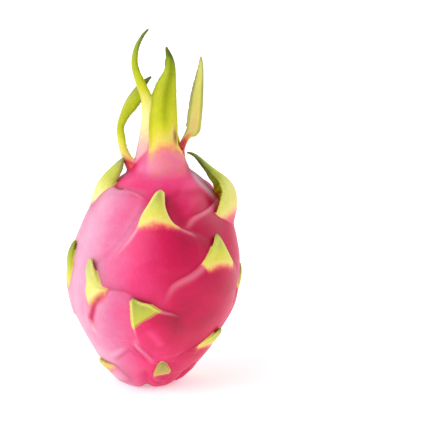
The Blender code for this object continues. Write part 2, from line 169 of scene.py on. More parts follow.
# The mound at the neck's front: its place, how ripe it is by height, how that drops right and left, and its
# painted highlight
MOUND_PLACE = 9.2
MOUND_HALF = 11
MOUND_DROPS = (5, 9)
MOUND_RIPENESS = ((116.5, 0.95), (120, 0.88), (123.5, 0.78), (128, 0.68))
MOUND_DEPTH = 4
MOUND_LEFT = (-0.5, 3)
MOUND_LIGHT = 0.45
MOUND_LIGHT_START = (105, 8)
# The red patch at the far left leaf's root, own red with painted shade: its place, its reach and what it
# does to the skin
RED_ROOT_ANGLE = (186, 15)
RED_ROOT_HEIGHT = (110, 4.5)
RED_ROOT_RIPENESS = -0.1
RED_ROOT_TONE = -0.2
RED_ROOT_SHADE = 0.15

# How far each part's paint runs over the one under it, and how far the painted shadow round a leaf's root
# runs
SCALE_PAINT = 0.8
NECK_PAINT = 2.5
LEAF_PAINT = 0.9
CONTACT_WIDTH = 1.6
# How strongly a fold's painted light moves the tone
FOLD_LIGHT = 0.5
# How fast the streaks run across and along each part, and where in the noise they are read
BODY_GRAIN = (40, 0.4, 0)
SCALE_GRAIN = (1.2, 0.35, 7)
NECK_GRAIN = (18, 0.3, 3)
LEAF_GRAIN = (1.6, 0.22)

# Grid that the surface is read from
VOXEL = 0.5
COARSE_STEPS = 4
BAND = 3.2
GRID_LOW = np.array([-46, -52, -4])
GRID_HIGH = np.array([56, 54, 184])
UPPER_HEIGHT = 70
CHUNK = 400000
SLOPE_STEP = 0.06
LEAST_SLOPE = 0.2
MOST_MOVE = 0.25
FAR = 1e9
TINY = 1e-9


@dataclass
class Scale:
    """A raised scale on the body: its tip, its two margins and how far it stands off."""

    angle: float
    tip: float
    length: float
    free: float
    left: tuple
    right: tuple
    tip_lift: float = 2.6
    middle_lift: float = 1.2
    swell: float = 3
    fade: float = 30
    cup: float = 0.3
    green: float = 7
    yellow: float = 13
    turn: float = 7
    tongue: float = 2
    slant: float = 0
    leaf_width: float = 9
    # Pale lines along the margins, partly the skin's own pale rim and partly a painted highlight
    lines: tuple = (16, 16)
    # Painted shadow just outside the left and right margins
    shades: tuple = (0.5, 0.5)
    line_width: float = 0.5
    line_light: float = 0.8
    band_shade: float = 0
    shade_width: float = 2
    tone: float = -0.06
    dry: float = 0
    pale: float = 0.12


@dataclass
class Leaf:
    """A long bract: the line of its keel, its half widths and the way that its outer face looks.

    Its blush and its crack are patches: height, reach up and down, place across, reach across, amount.
    """

    line: tuple
    half_widths: tuple
    outward: tuple
    cup: float = 0.26
    thickness: float = 1.5
    ripeness: tuple = ((100, 1), (112, 0.95), (118, 0.75), (128, 0.5), (140, 0.2), (146, 0.05))
    pale: tuple = ((100, 0), (110, 0))
    arch: float = 2
    root: float = 18
    # Painted shade on the skin round the leaf's root
    contact_shadow: float = 0.6
    tone: float = 0.42
    vein: float = 0
    inner: float = 0.05
    inner_pale: float = 0
    edge: float = -0.1
    edge_start: float = 0.68
    blush: tuple = (0, 1, 0, 1, 0)
    red_edge: float = 0
    # Painted highlight on the leaf's pink root
    root_highlight: float = 0
    # The crack is a slit painted in colour only: dry brown with painted shade
    crack: tuple = (0, 1, 0, 1, 0)


@dataclass
class Fold:
    """A soft ridge or groove of the skin, along a line of angles and distances up the body, with painted
    shade and light.
    """

    line: tuple
    height: float
    width: float
    # Painted shade in it, painted light that makes the pink lighter or darker, and paler skin
    shade: float = 0
    light: float = 0
    pale: float = 0


# Margins are pairs of distance down from the tip and distance across from the tip's line
FRONT_SCALES = {
    0: Scale(
        angle=-160, tip=118.5, length=42, free=1,
        left=((0, 6), (3, 10), (10, 15), (20, 18)),
        right=((0, 6), (2, 12), (4, 19), (7.5, 28)),
        tip_lift=0.3, middle_lift=0.2, swell=2.2, fade=9, green=-40, yellow=-30, line_light=0.35,
    ),
    1: Scale(
        angle=-2, tip=107.5, length=44, free=1,
        left=((0, 8), (1.8, 13), (4.5, 23), (7.2, 32), (12, 40)),
        right=((0, 8), (3, 14), (6, 20), (12, 28)),
        tip_lift=0.3, middle_lift=0.2, swell=2.6, fade=14, green=-40, yellow=-30,
        lines=(30, 14), line_width=1.2, line_light=0.5,
    ),
    3: Scale(
        angle=-86.5, tip=113.9, length=54, free=15,
        left=((0, 1.5), (6.5, 5.1), (12.2, 8.5), (17.7, 10.6), (22.8, 13.9), (27.9, 18.1), (33, 22.7),
              (40, 27)),
        right=((0, 1.5), (1.7, 1.9), (7.4, 2.4), (11.4, 3.7), (15.7, 6.4), (18.5, 9.9), (20.5, 13.6),
               (23, 18.5), (27, 23), (34, 26)),
        tip_lift=3.6, middle_lift=1.4, swell=3.2, fade=38, green=8.5, yellow=15, turn=8,
        lines=(38, 28), line_width=0.8, line_light=1, shades=(0.1, 1.3), shade_width=3.6, tone=-0.1,
        pale=0.18,
    ),
    5: Scale(
        angle=-165.5, tip=84.5, length=36, free=14,
        left=((0, 1.2), (6, 4), (14, 7), (26, 10)),
        right=((0, 1.2), (5, 3.6), (10, 4.8), (15, 4.6), (20, 4.2), (26, 5)),
        tip_lift=2.4, middle_lift=1.4, swell=1.6, green=14, yellow=21, turn=10, tongue=4,
        lines=(0, 0), pale=0, dry=0.1,
    ),
    6: Scale(
        angle=-42, tip=90, length=60, free=15,
        left=((0, 1), (4, 3), (9, 7), (14, 13), (17.4, 18.8), (18.6, 21.9), (20.4, 25.2), (22.2, 27.1),
              (25.6, 28.8), (29.8, 30.1), (37, 31)),
        right=((0, 1), (5, 4), (11, 8), (20, 15), (34, 20)),
        tip_lift=3.6, middle_lift=1.4, swell=3.2, fade=48, green=8, yellow=15, tongue=4,
        lines=(34, 24), line_width=1.6, line_light=0.45, shades=(0.4, 0.3),
    ),
    8: Scale(
        angle=-135.4, tip=79.5, length=39, free=13,
        left=((0, 1.4), (5.3, 1.7), (11.4, 1.2), (17.2, 1.2), (24, 1.8), (32, 4)),
        right=((0, 1.2), (2.1, 2.2), (5.7, 4.1), (10.1, 6.7), (13.1, 8.6), (13.5, 11), (13.7, 15.5),
               (14, 20.9), (16.4, 26.4), (24, 28.4)),
        tip_lift=2.6, middle_lift=1, swell=2.8, fade=26, green=12.5, yellow=18, turn=11, slant=0.5,
        leaf_width=12, lines=(0, 14), shades=(0, 0.6), tone=0.1, pale=0.37,
    ),
    11: Scale(
        angle=-101.2, tip=63.2, length=39, free=10,
        left=((0, 0.9), (7, 0.6), (15, 0), (22.7, -0.8), (28, -1.4), (34, -3)),
        right=((0, 1.3), (2.1, 4.5), (2.9, 7.7), (4.4, 9.9), (5.9, 11.9), (7.1, 15.5), (8.2, 19),
               (10.2, 22), (17, 23.5)),
        tip_lift=2.8, middle_lift=1, swell=3, green=15, yellow=16, turn=2, slant=0.75,
        leaf_width=19, lines=(36, 11), line_width=0.6, shades=(0, 0.8), tone=-0.18, band_shade=0.95,
    ),
    15: Scale(
        angle=-76, tip=24, length=15, free=8,
        left=((0, 0.8), (4, 1.4), (7.4, 1.8), (13, 3)),
        right=((0, 1), (5, 4), (9, 6.2), (14, 7.6)),
        tip_lift=1.4, middle_lift=0.8, swell=1.2, green=10, yellow=12, turn=3, lines=(14, 14),
        line_light=0.4, dry=0.35, pale=0.25,
    ),
    18: Scale(
        angle=-153, tip=22.6, length=17, free=6,
        left=((0, 1), (4, 3.4), (8, 5), (14, 7)),
        right=((0, 1.2), (0.6, 5), (1.2, 9), (3.4, 12), (9, 13), (14, 13)),
        tip_lift=1.4, middle_lift=0.8, swell=1.4, green=4.5, yellow=9, turn=9, slant=1.1, leaf_width=20,
        lines=(0, 8), shades=(0.2, 0.7), dry=0.15, pale=0.3, band_shade=0.3,
    ),
}
SKIPPED_SCALES = {13, 16}

LEAVES = {
    "front": Leaf(
        line=((11.4, -9.6, 104), (10.6, -10.9, 114), (9.1, -11.3, 122), (8.8, -11, 132), (8.9, -10, 142),
              (10.1, -8.8, 150), (12, -7.4, 158), (11.8, -6.6, 164), (10.3, -6, 170)),
        half_widths=(9.6, 8.4, 7.2, 7.3, 6.8, 5.6, 3.2, 2.2),
        outward=(0.05, -1, 0),
        ripeness=((104, 1), (116.5, 1), (120, 0.9), (123.5, 0.78), (127, 0.66), (131, 0.54), (136, 0.42),
                  (146, 0.35), (156, 0.32), (164, 0.24), (170, 0.05)),
        arch=5.5, vein=0.16, root=34, contact_shadow=0.05, root_highlight=0.45, tone=0.62,
        blush=(130, 7, 0.75, 0.35, 0.17),
        crack=(129.8, 3.4, 0.8, 0.12, 0.9),
    ),
    "left": Leaf(
        line=((-1, -4.6, 104), (-2.4, -5.8, 114), (-1.2, -6.4, 124), (-0.2, -6.6, 134), (-0.6, -6.6, 144),
              (-3.2, -6.6, 152), (-5.6, -6.2, 161), (-4.6, -5.6, 169), (-1.6, -5, 175), (1.4, -4.6, 178.5)),
        half_widths=(7.2, 6.4, 5.4, 4.4, 3.8, 3.1, 2.2, 1.6, 1),
        outward=(-0.68, -0.73, 0),
        ripeness=((104, 1), (112, 0.98), (117, 0.94), (122, 0.87), (128, 0.78), (138, 0.68), (147, 0.5),
                  (154, 0.36), (165, 0.22), (178.5, 0.02)),
        pale=((106, 0), (112, 0.55), (119, 0.75), (138, 0.55), (150, 0)),
        root=30, contact_shadow=0.3, tone=0.55, red_edge=0.55,
    ),
    "far_left": Leaf(
        line=((-4, -1, 103), (-8, -2, 110), (-11.5, -2.6, 118), (-12.9, -3, 126), (-13, -3, 130.5),
              (-11.4, -2.8, 135.7), (-8.7, -2.4, 141), (-5.4, -2, 146), (-2.7, -1.6, 150), (0, -1.2, 153),
              (2.6, -1, 155)),
        half_widths=(5, 3.6, 2.6, 2.4, 2.2, 2.8, 3.9, 4, 2.9, 1.5),
        outward=(-0.6, -0.8, 0.1),
        ripeness=((103, 0.91), (113, 0.91), (116, 0.78), (120, 0.58), (126, 0.4), (132, 0.3), (145, 0.26),
                  (155, 0)),
        pale=((113, 0), (116, 0.22), (121, 0.12), (127, 0)),
        tone=0.25,
    ),
    "right": Leaf(
        line=((14, 1, 108), (16.4, 1.2, 115), (17.8, 1.4, 120.5), (20.4, 1.6, 125.4), (23, 2, 128.2),
              (23.9, 2.4, 131.6), (24.6, 2.6, 138), (25.6, 3, 147.3), (26.9, 3.2, 158.6),
              (27.1, 3.2, 164.4)),
        half_widths=(3.4, 2.3, 1.8, 2, 3.9, 3.9, 3.8, 3.2, 1.6),
        outward=(0.2, 0.97, 0),
        ripeness=((108, 0.97), (117, 0.92), (123, 0.88), (126, 0.78), (129, 0.56), (136, 0.53), (147, 0.41),
                  (158, 0.34), (166, 0.1)),
        inner=0.08, inner_pale=0.32, edge=-0.45, edge_start=0.46,
        blush=(133, 7, 0, 0.9, 0.16),
    ),
    "back": Leaf(
        line=((7, 8.8, 104), (7.6, 10.6, 114), (8.6, 10.8, 124), (10, 9.6, 135), (11, 7.6, 146)),
        half_widths=(7.4, 7.2, 5.6, 3.4),
        outward=(0.1, 1, 0),
    ),
    "back_left": Leaf(
        line=((0.6, 7, 102), (-1.2, 8, 112), (-0.4, 8.6, 121), (2.2, 7.6, 131), (5.2, 6, 139)),
        half_widths=(6.4, 6, 4.4, 2.6),
        outward=(-0.6, 0.8, 0),
    ),
    "back_right": Leaf(
        line=((13.6, 5.6, 102), (15.6, 6.4, 111), (15.6, 7.6, 119), (13.8, 7.6, 128), (12.4, 6.6, 136)),
        half_widths=(6, 5.4, 4, 2.4),
        outward=(0.75, 0.66, 0),
    ),
    "shoulder_left": Leaf(
        line=((-21, -4, 82), (-26, -4.4, 89), (-26.2, -4.4, 93.5), (-25.2, -4.2, 97.5), (-23.6, -4, 101.5),
              (-20.4, -3.6, 105.9), (-16.4, -3.2, 110), (-13.2, -3, 113), (-10.8, -3, 114.8)),
        half_widths=(12, 11, 9.6, 8.4, 7.4, 6.2, 4.6, 2.8),
        outward=(-0.93, -0.36, 0.1),
        cup=0.36, thickness=1.8,
        ripeness=((88, 1), (92, 0.9), (95, 0.76), (99, 0.62), (103, 0.46), (107, 0.34), (112, 0.22),
                  (114.6, 0.05)),
        pale=((84, 0), (90, 0.6), (98, 0.6), (106, 0.15)),
    ),
    "shoulder_right": Leaf(
        line=((37.5, -1, 72), (40.8, -1.4, 79), (43, -1.8, 86), (44.2, -2, 93), (42.9, -2, 99.7),
              (39.3, -1.6, 104.3), (34.9, -1.4, 107.6), (30.6, -1.4, 111), (26.7, -1.6, 114.4),
              (23.6, -2, 116.6), (20.3, -2.4, 117.6)),
        half_widths=(11, 13, 13.4, 12.2, 9.2, 6.6, 4.2, 2.8, 2.1, 1.4),
        outward=(0.96, 0.28, 0.1),
        cup=0.5, thickness=1.8, contact_shadow=0.2, inner=-0.22, arch=5,
        ripeness=((74, 1), (84, 0.97), (90, 0.86), (95, 0.7), (100, 0.55), (106, 0.44), (111, 0.28),
                  (117.6, 0.1)),
        pale=((84, 0), (93, 0.3), (104, 0.35), (110, 0.1)),
    ),
}


FOLDS = [
    # Crease between the leaf of the left scale and the pillow under it, with painted shade in it
    Fold(((-115, 68), (-122, 63), (-127.6, 58.8), (-131, 53.5), (-134, 49), (-136, 43.5)),
         -0.45, 1.7, 0.8, -1),
    Fold(((-136, 50), (-134.5, 46), (-134.5, 40)), 0.1, 1.2, 0, 0, 0.6),
    Fold(((-115, 64), (-120.5, 59), (-125, 54), (-128, 48)), 0.4, 2.4),
    # Fold from the low front scale's left margin down to the stalk end, with a painted highlight on it and
    # painted shade in its wrinkles
    Fold(((-100.2, 42), (-99.6, 36), (-93, 31.3), (-87.6, 27), (-82, 22.5)), 0.4, 0.9, 0, 0.6),
    Fold(((-105, 36.5), (-100, 31.5), (-94.7, 27.1), (-90, 23)), -0.35, 0.8, 0.45),
    Fold(((-109, 34.5), (-104, 31), (-98, 27.5)), -0.22, 0.9, 0.3),
    Fold(((-99, 39), (-93.5, 33.5), (-88, 29.5), (-83, 25)), -0.2, 0.9, 0.3),
    # Crease across the lower left with painted shade in it, and a ridge over it with a painted highlight
    Fold(((-128, 23), (-121, 25.5), (-114, 28.6), (-108, 31.5), (-101, 34.8)), -0.25, 0.8, 0.35),
    Fold(((-131, 26.5), (-122, 29), (-114, 32), (-106, 35.5)), 0.2, 1.3, 0, 0.3),
    # Low ridge down the low front scale, with a painted highlight along it
    Fold(((-92.1, 48), (-85, 42), (-77.8, 34)), 0.2, 2, 0, 0.35),
    # Rim under the scale at the stalk end: a ridge with a painted highlight and a groove with painted shade
    Fold(((-86, 16), (-79, 11.5), (-70, 8.5), (-58, 8)), 0.5, 1.2, 0, 0.4),
    Fold(((-90, 14.5), (-82, 9.6), (-73, 6.6), (-60, 5.8)), -0.3, 0.9, 0.3),
    # Soft line under the left shoulder: grooves with painted shade in them
    Fold(((-158, 117.4), (-146, 116.9), (-128, 116.2), (-110, 115.6)), -0.12, 1.4, 0.3),
    Fold(((-168, 118), (-157, 117.3), (-147, 116.6), (-139, 116.3), (-130, 116)), -0.6, 1.1, 1.1),
    # Fills the valley between the left shoulder's pillow and the large front scale, with a little painted
    # light
    Fold(((-104, 111), (-104.4, 104.6), (-106.2, 99.5), (-110, 93.3), (-116.8, 87.5), (-126, 82.9)),
         0.45, 2.6, 0, 0.2),
    # Hollow beside the large front scale, with painted shadow in it
    Fold(((-79, 114), (-74, 106), (-68, 99), (-60, 95)), -0.4, 4, 0.75),
    # Painted highlight along the right shoulder's edge; in front of it painted shade on the deep red, and a
    # patch of painted light
    Fold(((-12, 101), (-14.7, 109.5), (-17.5, 113), (-18.3, 116.6), (-17, 120.3), (-13, 124), (-9, 129)),
         0.3, 3.2, 0, 1.6, 0.6),
    Fold(((-28, 120), (-31, 115), (-33, 110), (-30, 104)), 0, 2.4, 0, -0.05),
    Fold(((-66, 116), (-56, 112), (-46, 106)), 0, 6, 0, 0.25),
    # The grooves between the lobes round the stalk end, with painted shade in them
    *[Fold(((angle, -12), (angle - 1, 4), (angle - 3, 22)), -1.8, 2.4, 0.3)
      for angle in (-90.5, -18.5, 53.5, 125.5, 197.5)],
]


def turned_leaf(leaf, degrees, size=1, drop=0):
    """The same leaf moved round the fruit's axis and down, and made shorter above its root."""
    turn = math.radians(degrees)
    root = leaf.line[0][2]

    def lowered(z):
        return root - drop + (z - root) * size

    def turned(x, y):
        return x * math.cos(turn) - y * math.sin(turn), x * math.sin(turn) + y * math.cos(turn)

    line = []
    for x, y, z in leaf.line:
        x, y = turned(x - LEAN * z, y)
        z = lowered(z)
        line.append((x + LEAN * z, y, z))
    outward = (*turned(*leaf.outward[:2]), leaf.outward[2])
    ripeness, pale = [[(lowered(z), value) for z, value in table] for table in (leaf.ripeness, leaf.pale)]
    return replace(leaf, line=line, outward=outward, ripeness=ripeness, pale=pale)


LEAVES["shoulder_back_left"] = turned_leaf(LEAVES["shoulder_left"], -68, 0.9)
LEAVES["shoulder_back_right"] = turned_leaf(LEAVES["shoulder_left"], -132, 0.86, 0.5)


def smooth_curve(points, steps):
    """A Catmull-Rom curve through the points, with the given number of steps between two of them."""
    fixed = np.array(points, float)
    ends = np.vstack([2 * fixed[0] - fixed[1], fixed, 2 * fixed[-1] - fixed[-2]])
    t = (np.arange(steps) / steps)[:, None]
    curve = []
    for before, start, end, after in zip(ends, ends[1:], ends[2:], ends[3:]):
        cubic = (3 * start - before - 3 * end + after) * t**3
        square = (2 * before - 5 * start + 4 * end - after) * t**2
        curve.append(start + 0.5 * (cubic + square + (end - before) * t))
    curve.append(fixed[-1:])
    return np.vstack(curve)


def steady_curve(points, spacing=0.25):
    """A smooth table through points that never turns back between them."""
    x, y = np.array(points, float).T
    step = np.diff(x)
    slope = np.diff(y) / step
    product = np.maximum(slope[1:] * slope[:-1], 0)
    inner = 2 * product / np.where(product > 0, slope[1:] + slope[:-1], 1)
    slope = np.concatenate([slope[:1], inner, slope[-1:]])
    dense = np.arange(x[0], x[-1] + spacing, spacing)
    dense[-1] = x[-1]
    i = np.clip(np.searchsorted(x, dense, side="right") - 1, 0, len(step) - 1)
    t = (dense - x[i]) / step[i]
    rest = 1 - t
    value = (y[i] * rest**2 * (1 + 2 * t) + y[i + 1] * t**2 * (3 - 2 * t)
             + step[i] * t * rest * (slope[i] * rest - slope[i + 1] * t))
    return dense, value


def smoothstep(value, start=0, width=1):
    """Nought up to the start, 1 from the width past it on, and smooth between."""
    t = np.clip((value - start) / width, 0, 1)
    return t * t * (3 - 2 * t)


def soft_min(a, b, blend):
    """The smaller of two distances, with the corner between them filled over the blend width."""
    share = np.clip(0.5 + 0.5 * (b - a) / blend, 0, 1)
    return b + (a - b) * share - blend * share * (1 - share)


def soft_max(a, b, blend):
    return -soft_min(-a, -b, blend)


def between(ends, part):
    """The value at this part of the way between two ends."""
    return ends[0] + (ends[1] - ends[0]) * part


def bump(value, middle, width):
    """1 at the middle, falling softly to nought on both sides."""
    return np.exp(-(((value - middle) / width) ** 2))


def turn_from(angle, centre):
    """How far an angle lies from a centre, from minus half a turn to half a turn."""
    return np.mod(angle - centre + math.pi, 2 * math.pi) - math.pi


def look_up(table, value, **settings):
    """What a table of pairs gives for a value, straight between its pairs."""
    return np.interp(value, *np.array(table).T, **settings)


def columns(*values):
    """A row for each point, with the values side by side."""
    return np.stack(np.broadcast_arrays(*values), axis=1)


def streak_place(across, along, grain):
    """Where the noise of the streaks is read."""
    return columns(across * grain[0], along * grain[1], grain[2])


def unit(ways):
    return ways / np.linalg.norm(ways, axis=1)[:, None]


def lengths_along(line):
    """The distance along a line at each of its points."""
    return np.concatenate([[0], np.cumsum(np.linalg.norm(np.diff(line, axis=0), axis=1))])


def line_distance(points, line):
    """The distance to a line in the plane, and the nearest place from 0 to 1 along it."""
    nearest = np.full(len(points), FAR)
    place = np.zeros(len(points))
    for number, (start, end) in enumerate(zip(line, line[1:])):
        step = end - start
        t = np.clip((points - start) @ step / max(step @ step, TINY), 0, 1)
        gap = np.hypot(*(points - start - t[:, None] * step).T)
        closer = gap < nearest
        nearest = np.where(closer, gap, nearest)
        place = np.where(closer, (number + t) / (len(line) - 1), place)
    return nearest, place


class Body:
    """The plain body as tables over the distance up its surface from the spot."""

    # How far a fold acts, in widths and beyond them, and over which part of its length each end fades
    FOLD_REACH = 3
    FOLD_MARGIN = 2
    FOLD_STEPS = 3
    FOLD_END = 0.25
    LEAST_COSINE = 0.1

    def __init__(self):
        curve = smooth_curve(PROFILE, PROFILE_STEPS)
        self.radius, height = curve.T
        self.arc = lengths_along(curve)
        self.length = self.arc[-1]
        rise = height - CENTRE_HEIGHT
        self.polar = np.arctan2(self.radius, rise)
        self.reach = np.hypot(self.radius, rise)
        slope = np.gradient(self.reach, self.polar)
        self.facing = 1 / np.sqrt(1 + (slope / self.reach) ** 2)

    def read(self, points):
        """Angle, arc, height over the plain body and how squarely the surface faces the centre."""
        x = points[:, 0] - LEAN * points[:, 2]
        rise = points[:, 2] - CENTRE_HEIGHT
        radius = np.hypot(x, points[:, 1])
        polar = np.arctan2(radius, rise)
        arc = np.interp(-polar, -self.polar, self.arc)
        reach = np.interp(-polar, -self.polar, self.reach)
        under = polar > self.polar[0]
        reach = np.where(under, CENTRE_HEIGHT / np.maximum(-np.cos(polar), self.LEAST_COSINE), reach)
        facing = np.interp(arc, self.arc, self.facing)
        return np.arctan2(points[:, 1], x), arc, np.hypot(radius, rise) - reach, facing

    def radius_at(self, arc):
        return np.interp(arc, self.arc, self.radius)

    def relief(self, angle, arc):
        """Low lumps and folds on the plain body."""
        waves = sum(np.sin(count * angle + slope * arc + start) for count, slope, start in LUMP_WAVES)
        fade = smoothstep(arc / FLAT_END) * smoothstep((self.length - arc) / FLAT_END)
        height = LUMP_HEIGHT * waves * fade
        for fold in FOLDS:
            near, strength = self.fold_strength(fold, angle, arc)
            height[near] += fold.height * strength
        return height

    def fold_strength(self, fold, angle, arc):
        """The points near a fold, and how strongly it acts on each of them."""
        turns, rows = np.array(fold.line, float).T
        reach = self.FOLD_REACH * fold.width
        centre = math.radians(turns.mean())
        radius = self.radius_at(rows.mean())
        turn = turn_from(angle, centre)
        width = math.radians(np.ptp(turns)) / 2 * radius + reach + self.FOLD_MARGIN
        near = np.flatnonzero((np.abs(turn) * radius < width) & (arc > rows.min() - reach)
                              & (arc < rows.max() + reach))
        line = columns((np.radians(turns) - centre) * self.radius_at(rows), rows)
        points = columns(turn[near] * self.radius_at(arc[near]), arc[near])
        nearest, place = line_distance(points, smooth_curve(line, self.FOLD_STEPS))
        ends = smoothstep(place / self.FOLD_END) * smoothstep((1 - place) / self.FOLD_END)
        return near, bump(nearest, 0, fold.width) * ends

    def marks(self, points, angle, arc):
        """The plain skin's marks: pink all over, paler on one side with bloom and painted light, and
        towards the stalk end.
        """
        tone = look_up(TONE_AND_LIGHT, np.degrees(angle), period=360)
        tone = tone + LOW_TONE * (1 - smoothstep(arc / LOW_TONE_END))
        tone = tone + (PLAIN_TONE - tone) * smoothstep(arc, *BODY_PLAIN)
        radius = np.hypot(points[:, 0] - LEAN * points[:, 2], points[:, 1])
        dry = (1 - smoothstep(radius, *STALK_EDGE)) * (points[:, 2] < CENTRE_HEIGHT)
        return {"ripeness": 1, "tone": tone, "dry": dry}, streak_place(angle, arc, BODY_GRAIN)


BODY = Body()


def spiral_scales():
    """Every scale from the shoulder down, with those of the front where they really are."""
    draw = random.Random(DRAW_SEED)
    scales = []
    for number in range(SCALE_COUNT):
        if number in SKIPPED_SCALES:
            continue
        down = number / (SCALE_COUNT - 1)
        angle = FIRST_ANGLE + GOLDEN_ANGLE * number + draw.uniform(-ANGLE_DRIFT, ANGLE_DRIFT)
        tip = between(TIPS, down) + draw.uniform(-TIP_DRIFT, TIP_DRIFT)
        if number in FRONT_SCALES:
            scales.append(FRONT_SCALES[number])
            continue
        if number in SHOULDER_SCALES:
            scales.append(replace(FRONT_SCALES[0], angle=angle))
            continue
        values = {name: between(ends, down) for name, ends in HIDDEN_SCALES.items()}
        length = values["length"]
        margins = []
        for _ in range(2):
            width = between(HIDDEN_WIDTHS, down) * draw.uniform(*WIDTH_RANGE)
            margins.append(tuple((length * row, TIP_HALF + width * part) for row, part in MARGIN_SHAPE))
        lines = (between(HIDDEN_LINES, down),) * 2
        scales.append(Scale(angle, tip, left=margins[0], right=margins[1], fade=FADE_PART * length,
                            lines=lines, line_width=HIDDEN_LINE_WIDTH, **values))
    return scales


class ScaleShape:
    """A scale's outline on the unrolled body, as a table of signed distances to it."""

    # How far the table reaches past the outline, its step, and how far before its end the last cell is read
    GAP = 6
    STEP = 0.4
    LAST_CELL = 1.001
    # How far past its margins and its root a scale is still read, in parts of its width and length
    REACH = 1.2
    LEAST_HALF = 0.5
    SINK_START = (0.3, 0.5)
    # How ripe the skin is at the tip, in the green, at its end, at the end of the yellow, and beyond
    RIPENESS = (0.08, 0.2, 0.36, 0.6, 0.82, 1)
    GREEN_MIDDLE = 0.5
    TURN_MIDDLE = 0.4
    SIDE_RIPENING = 2.5
    # The pale line: where it lies in its own widths, over which part it ends, and where it starts
    LINE_PLACE = -0.8
    LINE_END = 0.5
    LINE_START = 3
    # By ripeness: where green and yellow end, the red band after them, and the end of that
    LEAFY_END = (0.72, 0.16)
    RED_BAND = (0.72, 0.26)
    RED_END = (0.84, 0.16)
    TINT_END = 0.7
    # By the distance down: where the shadow starts, and from where on it fades
    SHADOW_START = (-2, 4)
    SHADOW_FULL = 4

    def __init__(self, scale):
        self.scale = scale
        self.angle = math.radians(scale.angle)
        self.left = steady_curve(scale.left)
        self.right = steady_curve(scale.right)
        self.low = np.array([-self.left[1].max() - self.GAP, -self.GAP])
        self.high = np.array([self.right[1].max() + self.GAP, scale.length + self.GAP])
        self.grid = self.make_table()

    def sides(self, down):
        """The middle between the margins and their half width, at a distance down from the tip."""
        down = np.maximum(down, 0)
        left = np.interp(down, *self.left)
        right = np.interp(down, *self.right)
        root = np.clip(2 * down / self.scale.length - 1, 0, 1)
        tip = np.sqrt(np.minimum(down / TIP_ROUND, 1))
        return (right - left) / 2, (right + left) / 2 * tip * np.sqrt(1 - ROOT_ROUNDING * root**2)

    def make_table(self):
        """The signed distance to the outline, over a grid of places across and down."""
        down = np.linspace(0, 1, OUTLINE_STEPS) ** OUTLINE_CROWDING * self.scale.length
        middle, half = self.sides(down)
        outline = np.vstack([columns(middle - half, down), columns(middle + half, down)[::-1]])
        counts = np.ceil((self.high - self.low) / self.STEP).astype(int) + 1
        across, rows = [low + self.STEP * np.arange(count) for low, count in zip(self.low, counts)]
        u, v = np.meshgrid(across, rows, indexing="ij")
        nearest = line_distance(columns(u.ravel(), v.ravel()), np.vstack([outline, outline[:1]]))[0]
        middle, half = self.sides(rows)
        inside = (np.abs(u - middle) < half) & (v > 0) & (v < self.scale.length)
        return np.where(inside, -1, 1) * nearest.reshape(counts)

    def across_and_down(self, angle, arc):
        """The distances across from the tip's line and down from the tip."""
        return turn_from(angle, self.angle) * BODY.radius_at(arc), self.scale.tip - arc

    def near(self, angle, arc):
        places = columns(*self.across_and_down(angle, arc))
        return ((places > self.low) & (places < self.high)).all(axis=1)

    def read(self, angle, arc):
        """Across, down, distance outside the outline and place between the margins."""
        across, down = self.across_and_down(angle, arc)
        u, v = [np.clip((value - low) / self.STEP, 0, count - self.LAST_CELL)
                for value, low, count in zip((across, down), self.low, self.grid.shape)]
        i, j = u.astype(int), v.astype(int)
        u, v = u - i, v - j
        grid = self.grid
        side = ((grid[i, j] * (1 - u) + grid[i + 1, j] * u) * (1 - v)
                + (grid[i, j + 1] * (1 - u) + grid[i + 1, j + 1] * u) * v)
        middle, half = self.sides(down)
        place = np.clip((across - middle) / np.maximum(half, self.LEAST_HALF), -self.REACH, self.REACH)
        return across, down, side, place

    def height(self, down, place, side):
        """The outer face's height above the body."""
        scale = self.scale
        free = np.clip(1 - down / scale.free, 0, self.REACH)
        lift = scale.tip_lift * free * (2 * free - 1) + scale.middle_lift * 4 * free * (1 - free)
        lift -= scale.cup * place**2 * smoothstep(free / CUP_END)
        along = np.clip(down / scale.length, 0, self.REACH)
        rise = along / SWELL_PEAK * np.exp(1 - along / SWELL_PEAK) * (1 - along**4)
        flatten = smoothstep(down / scale.fade)
        swell = scale.swell * rise * (1 - between((SWELL_ROUND, 1), flatten) * place**2)
        reach = np.where(place < 0, *scale.lines)
        rim = RIM_HEIGHT * bump(side, RIM_PLACE, RIM_WIDTH) * smoothstep((reach - down) / RIM_END)
        sink = np.maximum(smoothstep(along, *self.SINK_START), flatten * place**2)
        return lift + swell + scale.line_light * rim - EDGE_SINK * sink

    def distance(self, angle, arc, height, facing, relief):
        """Distance to the scale's solid, for points given by their place over the body."""
        down, side, place = self.read(angle, arc)[1:]
        top = relief + self.height(down, place, side)
        thin = top - SCALE_THICKNESS * (1 - SCALE_THINNING * np.minimum(place**2, 1))
        sunk = smoothstep(down / self.scale.free - ROOT_START)
        bottom = thin + (relief - ROOT_DEPTH - thin) * sunk
        faces = np.maximum((height - top) * facing, (bottom - height) * facing)
        return soft_max(faces, side, SCALE_ROUNDING)

